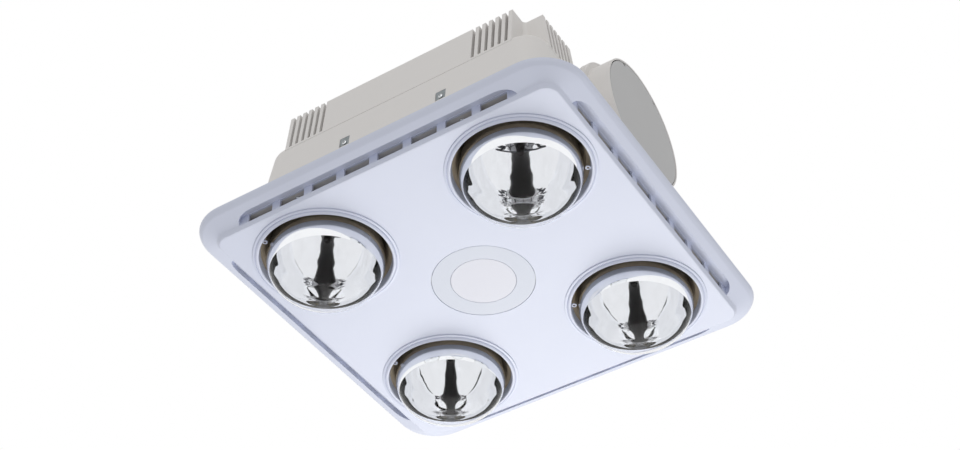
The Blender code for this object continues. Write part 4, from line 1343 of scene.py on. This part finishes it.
    def _cap(self, body: str) -> None:
        """The brass cap with its rolled thread and solder tip.

        Args:
            body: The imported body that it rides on.
        """
        low = self.glass_top + GAP
        shoulder = low + self.cap_length - self.cap_shoulder
        top = low + self.cap_length + self.cap_tip
        rows = self.thread_rows
        rings = []
        for i in range(rows + 1):
            height = low + (shoulder - low) * i / rows
            fade = min(1, self.thread_fade * min(i, rows - i) / rows)
            ring = []
            for k in range(SMALL_STEPS):
                a = math.tau * k / SMALL_STEPS
                turn = (height - low) / self.thread_pitch - k / SMALL_STEPS
                wave = (1 - math.cos(math.tau * turn)) / 2
                radius = self.cap_radius - self.thread_depth * fade * wave
                ring.append((radius * math.cos(a), radius * math.sin(a), height))
            rings.append(ring)
        tip = self.cap_tip_radius
        rim = top - self.cap_tip_edge
        ends = ((tip, low + self.cap_length), (tip, rim), (tip * self.cap_tip_flat, top))
        for radius, height in ends:
            rings.append([(x, y, height) for x, y in circle(radius, SMALL_STEPS)])
        inner = self.cap_radius - self.cap_wall
        roof = shoulder - self.cap_wall
        hollow = [(0, low - OVERRUN), (inner, low - OVERRUN), (inner, roof), (0, roof)]
        bore = Shape().lathe(hollow, SMALL_STEPS)
        cap = Shape().loft(rings).carved(Carving.CUT, bore).moved(*self.middle, 0)
        add(f"screw_cap_{self.number}", cap, Finishes.brass, body, [f"lamp_cap_{self.number}"])


@dataclass
class Downlight:
    """The downlight: flush trim, opal diffuser, board, heat sink and driver."""

    face: float = -0.018
    trim_radius: float = 0.0556
    trim_sheet: float = 0.0016
    glass_radius: float = 0.03515
    neck_radius: float = 0.044
    neck_wall: float = 0.004
    neck_rise: float = 0.006
    glass_flange: float = 0.0012
    ease: float = 0.0005

    def build(self) -> None:
        """Makes what shows and dresses the rest."""
        back = self.face + self.trim_sheet
        top = back + self.neck_rise
        bore = self.neck_radius - self.neck_wall
        edge = self.glass_radius + GAP
        outline = [(self.trim_radius, self.face), (self.trim_radius, back), (self.neck_radius, back)]
        outline += [(self.neck_radius, top), (bore, top), (bore, back), (edge, back), (edge, self.face)]
        trim = Shape().lathe(eased(outline, self.ease, closed=True))
        add("downlight_trim", trim, Finishes.trim, stands_for=["led_trim"])
        low = back + GAP
        flange = bore - GAP
        lens = [(0, self.face), (self.glass_radius, self.face), (self.glass_radius, low), (flange, low)]
        profile = eased(lens, self.ease)
        profile += [(flange, low + self.glass_flange), (0, low + self.glass_flange)]
        add("downlight_diffuser", Shape().lathe(profile), Finishes.opal, stands_for=["led_diffuser"])
        dress("led_board", Finishes.board)
        dress("led_heat_sink", Finishes.aluminium)
        dress("led_driver", Finishes.grey)


@dataclass
class Screw:
    """A pan-head screw with a cross recess. Its head stands on the origin and its shank goes down."""

    head_radius: float
    head: float
    radius: float
    length: float
    thread_pitch: float = 0.0012
    thread_root: float = 0.78
    head_flat: float = 0.55
    head_ease: float = 0.5
    cross_long: float = 0.58
    cross_wide: float = 0.13
    cross_foot: float = 0.3

    def shape(self) -> Shape:
        """The screw, head up.

        Returns:
            The screw's shape.
        """
        ease = self.head * self.head_ease
        profile = [(0, self.head), (self.head_radius * self.head_flat, self.head), (self.head_radius, ease)]
        profile = eased([*profile, (self.head_radius, 0)], ease) + [(self.radius, 0)]
        turns = int(self.length / self.thread_pitch)
        for i in range(1, 2 * turns):
            depth = self.thread_root if i % 2 else 1
            profile.append((self.radius * depth, -self.length * i / (2 * turns)))
        profile.append((0, -self.length))
        screw = Shape().lathe(profile, SMALL_STEPS)
        cross = []
        arms = (self.head_radius * self.cross_long, self.head_radius * self.cross_wide)
        for u, v in (arms, arms[::-1]):
            arm = rectangle(-u, u, -v, v)
            cross.append(Shape().prism(arm, self.head * self.cross_foot, self.head + OVERRUN))
        return screw.carved(Carving.CUT, *cross)


@dataclass
class Housing:
    """The drafted lower skirt with its flange, and the slotted upper box that laps into it."""

    foot_half: float = 0.18506
    draft: float = 0.10
    sheet: float = 0.0012
    flange_half: float = 0.2036
    flange_corner: float = 0.0146
    flange_sheet: float = 0.0025
    skirt_corner: float = 0.0277
    skirt_top: float = 0.113
    shoulder_round: float = 0.008
    shoulder_steps: int = 8
    top: float = 0.1686
    roof: float = 0.0025
    arm: float = 0.145
    notch: float = 0.0045
    notch_steps: int = 10
    lap: float = 0.008
    lap_step: float = 0.0005
    fin_depth: float = 0.006
    slots: int = 6
    slot_width: float = 0.0038
    slot_pitch: float = 0.0082
    slot_post: float = 0.0047
    slot_sill: float = 0.117
    slot_past: float = 0.001
    pad_margin: float = 0.0025
    recess_depth: float = 0.158
    recess_half: float = 0.088
    rail_out: float = 0.0607
    rail_width: float = 0.012
    rail_low: float = 0.07025
    rail_high: float = 0.08375
    duct_height: float = 0.110
    collar_hole: float = 0.084
    screw_along: float = 0.100
    screw_edge: float = 0.0071
    screw_hole: float = 0.0021
    outlet_half: float = 0.046
    outlet_top: float = 0.1253
    overshoot: float = 1.2

    def half(self, height: float) -> float:
        """Half the housing's width at a height on its drafted faces."""
        return self.foot_half - self.draft * height

    def build(self) -> None:
        """Makes the skirt and the upper box."""
        self._skirt()
        self._upper()

    def _shoulder(self, wall: float) -> list[Ring]:
        """The rounded top of the skirt, as rings set in by a wall.

        Args:
            wall: How far the rings are set in.

        Returns:
            The rings from the lowest up.
        """
        bend = self.shoulder_round - wall
        rings = []
        for i in range(self.shoulder_steps + 1):
            a = math.pi / 2 * i / self.shoulder_steps
            height = self.skirt_top + bend * math.sin(a)
            inset = wall + bend - bend * math.cos(a)
            rings.append(square(self.half(height) - inset, self.skirt_corner - inset, height))
        return rings

    def _cross(self, half: float, arm: float, notch: float, steps: Sequence) -> Plan:
        """A square with notched corners. Each side may be stepped in over its middle, to a depth.

        Args:
            half: Half its width over the arms.
            arm: Half the length of an arm's end.
            notch: The radius of a notch.
            steps: For each side half a step's length and its place, or None.

        Returns:
            The outline's points.
        """
        outline: Plan = []
        for side, step in enumerate(steps):
            end = [(half, -arm), (half, arm)]
            if step:
                wide, depth = step
                end[1:1] = [(half, -wide), (depth, -wide), (depth, wide), (half, wide)]
            for i in range(self.notch_steps + 1):
                a = math.pi * 3 / 2 - math.pi / 2 * i / self.notch_steps
                end.append((arm + notch + notch * math.cos(a), arm + notch + notch * math.sin(a)))
            outline += quarter_turned(end, side)
        return outline

    def _skirt(self) -> None:
        """The lower shell with its flange, windows and holes."""
        below = -self.flange_sheet
        outside = [
            square(self.flange_half, self.flange_corner, below),
            square(self.flange_half, self.flange_corner, 0),
            square(self.foot_half, self.skirt_corner, 0),
        ]
        skirt = Shape().loft(outside + self._shoulder(0))
        low = below - OVERRUN
        foot = square(self.half(low) - self.sheet, self.skirt_corner - self.sheet, low)
        inside = Shape().loft([foot] + self._shoulder(self.sheet))
        past = self.foot_half * self.overshoot
        mouth_plan = self._cross(past, self.arm + GAP, self.notch - GAP, (None,) * 4)
        mouth = Shape().prism(mouth_plan, self.skirt_top, self.top)
        windows = Shape()
        for side in (-1, 1):
            wide = self.rail_width / 2 + GAP
            middle = side * self.rail_out
            hole = rectangle(middle - wide, middle + wide, self.rail_low - GAP, self.rail_high + GAP)
            windows.prism(hole, -self.foot_half - OVERRUN, self.foot_half + OVERRUN, Axis.Y)
        duct = circle(self.collar_hole, ROUND_STEPS, (0, self.duct_height))
        duct_hole = Shape().prism(duct, self.recess_depth, past, Axis.X)
        holes = Shape()
        edge = self.flange_half - self.screw_edge
        for side in range(4):
            for place in quarter_turned([(edge, -self.screw_along), (edge, self.screw_along)], side):
                holes.prism(circle(self.screw_hole, SMALL_STEPS, place), low, OVERRUN)
        skirt = skirt.carved(Carving.CUT, inside, mouth, windows, duct_hole, holes)
        add("lower_skirt", skirt, Finishes.housing, stands_for=["housing_skirt"])

    def _upper(self) -> None:
        """The cross-shaped box with its slots and the recess for the duct."""
        edge = self.skirt_top + GAP
        lap_half = self.half(self.skirt_top) - self.sheet - GAP
        recess = ((self.recess_half, self.recess_depth), None, None, None)
        step = edge + self.lap_step
        levels = [(lap_half, edge - self.lap), (lap_half, edge)]
        levels += [(self.half(step), step), (self.half(self.top), self.top)]
        outside = []
        for half, height in levels:
            outline = self._cross(half, self.arm, self.notch, recess)
            outside.append([(x, y, height) for x, y in outline])
        cuts = (self._upper_inside(edge, lap_half), self._upper_slots(), self._outlet(edge))
        box = Shape().loft(outside).carved(Carving.CUT, *cuts)
        add("upper_box", box, Finishes.housing, stands_for=["housing_top"])

    def _upper_inside(self, edge: float, lap_half: float) -> Shape:
        """The upper box's hollow, drawn in behind the slots so that they open to fins.

        Args:
            edge: The height of the lap's top.
            lap_half: Half the lap's width.

        Returns:
            The shape to cut away.
        """
        row = self.slot_post + self.slot_width + self.slot_pitch * (self.slots - 1)
        pad = self.arm - row - self.pad_margin
        inner_recess = (self.recess_half + self.sheet, self.recess_depth - self.sheet)
        ledge = edge + self.lap_step + self.sheet
        roof = self.top - self.roof
        levels = [(lap_half, edge - self.lap - OVERRUN), (lap_half, ledge)]
        levels += [(self.half(ledge), ledge + self.lap_step), (self.half(roof), roof)]
        inside = []
        for half, height in levels:
            steps = (inner_recess, *[(pad, half - self.sheet)] * 3)
            arm, notch = self.arm - self.sheet, self.notch + self.sheet
            outline = self._cross(half - self.fin_depth, arm, notch, steps)
            inside.append([(x, y, height) for x, y in outline])
        return Shape().loft(inside)

    def _upper_slots(self) -> Shape:
        """The slots, open at the top.

        Returns:
            The shape to cut away.
        """
        made = Shape()
        depth = self.half(self.top) - self.fin_depth - self.slot_past
        for side in range(4):
            for hand in (-1, 1):
                for i in range(self.slots):
                    outer = self.arm - self.slot_post - self.slot_pitch * i
                    slot = rectangle(depth, self.foot_half, hand * outer, hand * (outer - self.slot_width))
                    made.prism(quarter_turned(slot, side), self.slot_sill, self.top + OVERRUN)
        return made

    def _outlet(self, edge: float) -> Shape:
        """The way for the fan's air through the recess wall.

        Args:
            edge: The height of the lap's top.

        Returns:
            The shape to cut away.
        """
        outline = rectangle(-self.outlet_half, self.outlet_half, edge - self.lap - OVERRUN, self.outlet_top)
        low = self.recess_depth - self.sheet - GAP - OVERRUN
        return Shape().prism(outline, low, self.recess_depth + OVERRUN, Axis.X)


@dataclass
class Chassis:
    """Rails, bars and lampholders, with the screws that hold the unit together and up."""

    rail_screw: Screw = field(default_factory=lambda: Screw(0.0026, 0.0014, 0.0015, 0.008))
    flange_screw: Screw = field(default_factory=lambda: Screw(0.0038, 0.0022, 0.0018, 0.012))

    def build(self) -> None:
        """Dresses the steelwork and makes its screws."""
        for node in ("chassis_rail_left", "chassis_rail_right", "lamp_bar_front", "lamp_bar_rear"):
            dress(node, Finishes.steel)
        for number in range(1, 5):
            dress(f"lampholder_{number}", Finishes.ceramic)
            self._place(f"rail_screw_{number}", self.rail_screw, Axis.Y)
        for number in range(1, 9):
            self._place(f"flange_screw_{number}", self.flange_screw, Axis.Z)

    def _place(self, node: str, screw: Screw, axis: Axis) -> None:
        """Makes one screw where its node is, with its head away from the unit's middle.

        Args:
            node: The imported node's name.
            screw: The screw's sizes.
            axis: The axis that it lies along.
        """
        low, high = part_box(node)
        middle = (low + high) / 2
        shape = screw.shape()
        if axis is Axis.Z:
            shape.turned(math.pi, Axis.X).moved(middle.x, middle.y, low.z + screw.head)
        else:
            side = math.copysign(1, middle.y)
            shape.turned(-side * math.pi / 2, Axis.X)
            seat = (high.y if side > 0 else low.y) - side * screw.head
            shape.moved(middle.x, seat, middle.z)
        add(f"cross_{node}", shape, Finishes.zinc, stands_for=[node])


@dataclass
class Fan:
    """The extractor fan inside the housing."""

    def build(self) -> None:
        """Dresses its pieces."""
        for node in ("fan_scroll", "scroll_cover", "motor_body"):
            dress(node, Finishes.steel)
        dress("impeller", Finishes.black)
        dress("motor_shaft", Finishes.zinc)


@dataclass
class DuctOutlet:
    """The duct adaptor with its collar and spigot, and the flap that hangs in it."""

    height: float = 0.110
    collar_radius: float = 0.083
    collar_back: float = 0.170
    collar_depth: float = 0.010
    collar_sheet: float = 0.0025
    radius: float = 0.076
    wall: float = 0.002
    length: float = 0.026
    plate_back: float = 0.1583
    plate: float = 0.0025
    plate_margin: float = 0.010
    neck_wall: float = 0.003
    way_half: float = 0.046
    way_low: float = 0.08405
    way_high: float = 0.1253
    ease: float = 0.0008
    pin_rise: float = 0.064
    pin_radius: float = 0.0013
    pin_half: float = 0.0385
    barrel: float = 0.0024
    flap_gap: float = 0.0009
    flap_sheet: float = 0.0015
    flap_set_in: float = 0.0003
    ear_half: float = 0.0315
    ear_drop: float = 0.0032

    @property
    def end(self) -> float:
        """Where the spigot ends."""
        return self.collar_back + self.collar_depth + self.length

    def build(self) -> None:
        """Makes the adaptor, the flap and its pin."""
        self._adaptor()
        self._flap()

    def _adaptor(self) -> None:
        """The collar and spigot on their neck and plate."""
        inner = self.collar_back + self.collar_sheet
        face = self.collar_back + self.collar_depth
        bore = self.radius - self.wall
        collar = self.collar_radius
        corners = [(0, self.collar_back), (collar, self.collar_back), (collar, face)]
        corners += [(self.radius, face), (self.radius, self.end)]
        corners += [(bore, self.end), (bore, inner), (0, inner)]
        adaptor = Shape().lathe(eased(corners, self.ease), FINE_STEPS, Axis.X)
        low = self.way_low - self.height
        high = self.way_high - self.height
        wide = self.way_half
        back = self.plate_back
        front = back + self.plate
        wall = self.neck_wall
        neck_plan = rectangle(-wide - wall, wide + wall, low - wall, high + wall)
        neck = Shape().prism(neck_plan, back + self.plate / 2, inner - OVERRUN / 2, Axis.X)
        margin = self.plate_margin
        plate_plan = rectangle(-wide - margin, wide + margin, low - margin, high + margin)
        plate = Shape().prism(eased(plate_plan, margin / 2, closed=True), back, front, Axis.X)
        adaptor = adaptor.carved(Carving.JOIN, neck, plate)
        way = Shape().prism(rectangle(-wide, wide, low, high), back - OVERRUN, inner + OVERRUN, Axis.X)
        hole = circle(self.pin_radius + GAP, SMALL_STEPS, (self._axis_x, self.pin_rise))
        pin_hole = Shape().prism(hole, -self.radius, self.radius, Axis.Y)
        adaptor = adaptor.carved(Carving.CUT, way, pin_hole).moved(0, 0, self.height)
        add("duct_adaptor", adaptor, Finishes.housing, stands_for=["outlet_adaptor"])

    @property
    def _axis_x(self) -> float:
        """Where the flap's pin stands along the duct."""
        return self.end - self.flap_set_in - self.barrel

    def _flap(self) -> None:
        """The round flap with its barrel, and the pin through it."""
        back = self.barrel - self.flap_sheet
        radius = self.radius - self.wall - self.flap_gap

        def disc(inset: float) -> Plan:
            """The flap's outline set in by a distance."""
            return circle(radius - inset, FINE_STEPS, (0, -self.pin_rise))

        flap = Shape().slab(disc, back, self.barrel, self.flap_sheet / 3, Axis.X)
        ears = Shape()
        for side in (-1, 1):
            reach = self.radius - self.pin_rise
            ear = rectangle(side * self.ear_half, side * self.radius, -self.ear_drop, reach)
            ears.prism(ear, back - OVERRUN, self.barrel + OVERRUN, Axis.X)
        reach = self.ear_half - GAP
        barrel = Shape().prism(circle(self.barrel, SMALL_STEPS), -reach, reach, Axis.Y)
        flap = flap.carved(Carving.CUT, ears).carved(Carving.JOIN, barrel)
        bore = Shape().prism(circle(self.pin_radius + GAP, SMALL_STEPS), -self.radius, self.radius, Axis.Y)
        flap = flap.carved(Carving.CUT, bore)
        flap.moved(self._axis_x, 0, self.height + self.pin_rise)
        add("duct_flap", flap, Finishes.grey, "damper", ["backdraft_flap"])

        def rod(inset: float) -> Plan:
            """The pin's outline set in by a distance."""
            return circle(self.pin_radius - inset, SMALL_STEPS, (self._axis_x, self.height + self.pin_rise))

        pin = Shape().slab(rod, -self.pin_half, self.pin_half, self.pin_radius / 4, Axis.Y)
        add("duct_flap_pin", pin, Finishes.zinc, "damper", ["flap_pin"])


@dataclass
class WiringBox:
    """The wiring box on the far side, with its lid, terminal block and cable gland."""

    def build(self) -> None:
        """Dresses its pieces."""
        for node in ("terminal_box", "terminal_box_lid"):
            dress(node, Finishes.housing)
        dress("terminal_block", Finishes.black)
        dress("cable_gland", Finishes.grey)


@dataclass
class Viewpoint:
    """The camera that took the picture, as angles in degrees and lengths in metres."""

    azimuth: float = 31.501
    elevation: float = -41.966
    roll: float = -1.062
    distance: float = 1.77482
    focal_pixels: float = 1646.858
    aim_right: float = 3.311
    aim_up: float = 43.709
    frame_pixels: float = 960
    sensor: float = 36
    nearest: float = 0.05

    def place(self) -> None:
        """Makes the camera and gives it to the scene."""
        az, el, roll = (math.radians(a) for a in (self.azimuth, self.elevation, self.roll))
        back = Vector((math.sin(az) * math.cos(el), -math.cos(az) * math.cos(el), math.sin(el)))
        right = (-back).cross(Vector((0, 0, 1))).normalized()
        up = right.cross(-back)
        level_right = right * math.cos(roll) + up * math.sin(roll)
        level_up = up * math.cos(roll) - right * math.sin(roll)
        pan = math.atan2(self.aim_right, self.focal_pixels)
        tilt = math.atan2(self.aim_up, self.focal_pixels)
        ahead = -back * math.cos(pan) - level_right * math.sin(pan)
        sideways = -back * math.sin(pan) + level_right * math.cos(pan)
        onward = ahead * math.cos(tilt) + level_up * math.sin(tilt)
        upward = level_up * math.cos(tilt) - ahead * math.sin(tilt)
        data = bpy.data.cameras.new("viewpoint")
        data.sensor_width = self.sensor
        data.lens = self.focal_pixels * self.sensor / self.frame_pixels
        data.clip_start = self.nearest
        camera = bpy.data.objects.new("viewpoint", data)
        turn = Matrix((sideways, upward, -onward)).transposed()
        camera.matrix_world = Matrix.Translation(back * self.distance) @ turn.to_4x4()
        bpy.context.scene.collection.objects.link(camera)
        bpy.context.scene.camera = camera


@dataclass(frozen=True)
class SoftLamp:
    """A square soft lamp that faces the unit, placed and sized in metres, with its power in watts."""

    name: str
    place: tuple[float, float, float]
    size: float
    power: float

    def hang(self) -> None:
        """Adds it to the scene, unseen through glass."""
        data = bpy.data.lights.new(self.name, "AREA")
        data.size = self.size
        data.energy = self.power
        lamp = bpy.data.objects.new(self.name, data)
        lamp.location = self.place
        lamp.visible_transmission = False
        lamp.rotation_mode = "QUATERNION"
        lamp.rotation_quaternion = (-Vector(self.place)).to_track_quat("-Z", "Y")
        bpy.context.scene.collection.objects.link(lamp)


@dataclass
class Studio:
    """A pale floor, soft lamps and a plain bright surround."""

    lamps: tuple = (
        SoftLamp("key_light", (-0.64, 1.46, -1.42), 1.3, 21),
        SoftLamp("low_light", (0.7, 0.5, -1.5), 1.5, 2.5),
        SoftLamp("back_light", (0.7, -2.0, 1.1), 1.6, 7),
    )
    floor_depth: float = 3.2
    floor_half: float = 6.0
    floor_color: Color = (0.86, 0.86, 0.87)
    floor_roughness: float = 0.9
    floor_shine: float = 0.94
    white: Color = (1, 1, 1)
    ambient: float = 0.54

    def build(self) -> None:
        """Sets the stage."""
        bpy.context.scene.view_settings.view_transform = "Standard"
        self._surround()
        self._floor()
        for lamp in self.lamps:
            lamp.hang()

    def _surround(self) -> None:
        """White where it is seen, itself or in gloss and glass, and dimmer as light."""
        world = bpy.data.worlds.new("surround")
        bpy.context.scene.world = world
        world.use_nodes = True
        graph = Graph(world.node_tree, "Background")
        graph.set({"Color": self.white, "Strength": self.ambient})
        seen = graph.node("ShaderNodeBackground", {}, {"Color": self.white, "Strength": 1.0})
        graph.show(seen, list(Rays), "World Output")

    def _floor(self) -> None:
        """A plain pale floor far below the ceiling."""
        shape = Shape()
        half = self.floor_half
        plan = rectangle(-half, half, -half, half)
        shape.mesh.faces.new([shape.mesh.verts.new((x, y, -self.floor_depth)) for x, y in plan])
        mesh = bpy.data.meshes.new("floor")
        shape.mesh.to_mesh(mesh)
        shape.mesh.free()
        material, graph = new_material("floor_paint")
        graph.set(
            {
                "Base Color": self.floor_color,
                "Roughness": self.floor_roughness,
                "Specular IOR Level": 0.0,
            }
        )
        shine = graph.node("ShaderNodeEmission", {}, {"Color": self.white, "Strength": self.floor_shine})
        graph.show(shine, (Rays.GLOSSY, Rays.TRANSMISSION), "Material Output")
        mesh.materials.append(material)
        floor = bpy.data.objects.new("floor", mesh)
        bpy.context.scene.collection.objects.link(floor)


def main() -> None:
    """Builds the unit's sub-assemblies in order, then the studio and the camera."""
    logging.basicConfig(level=logging.INFO, format="%(message)s")
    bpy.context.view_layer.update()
    Viewpoint().place()
    Fascia().build()
    for number, (side, turn) in enumerate(zip(CORNERS, EYELET_DEGREES), 1):
        middle = (side[0] * Fascia.lamp_out, side[1] * Fascia.lamp_out)
        Recess(number, middle, math.radians(turn)).build()
        HeatLamp(number, middle).build()
    for part in (Downlight(), Housing(), Chassis(), Fan(), DuctOutlet(), WiringBox(), Studio()):
        part.build()


if __name__ == "__main__":
    main()
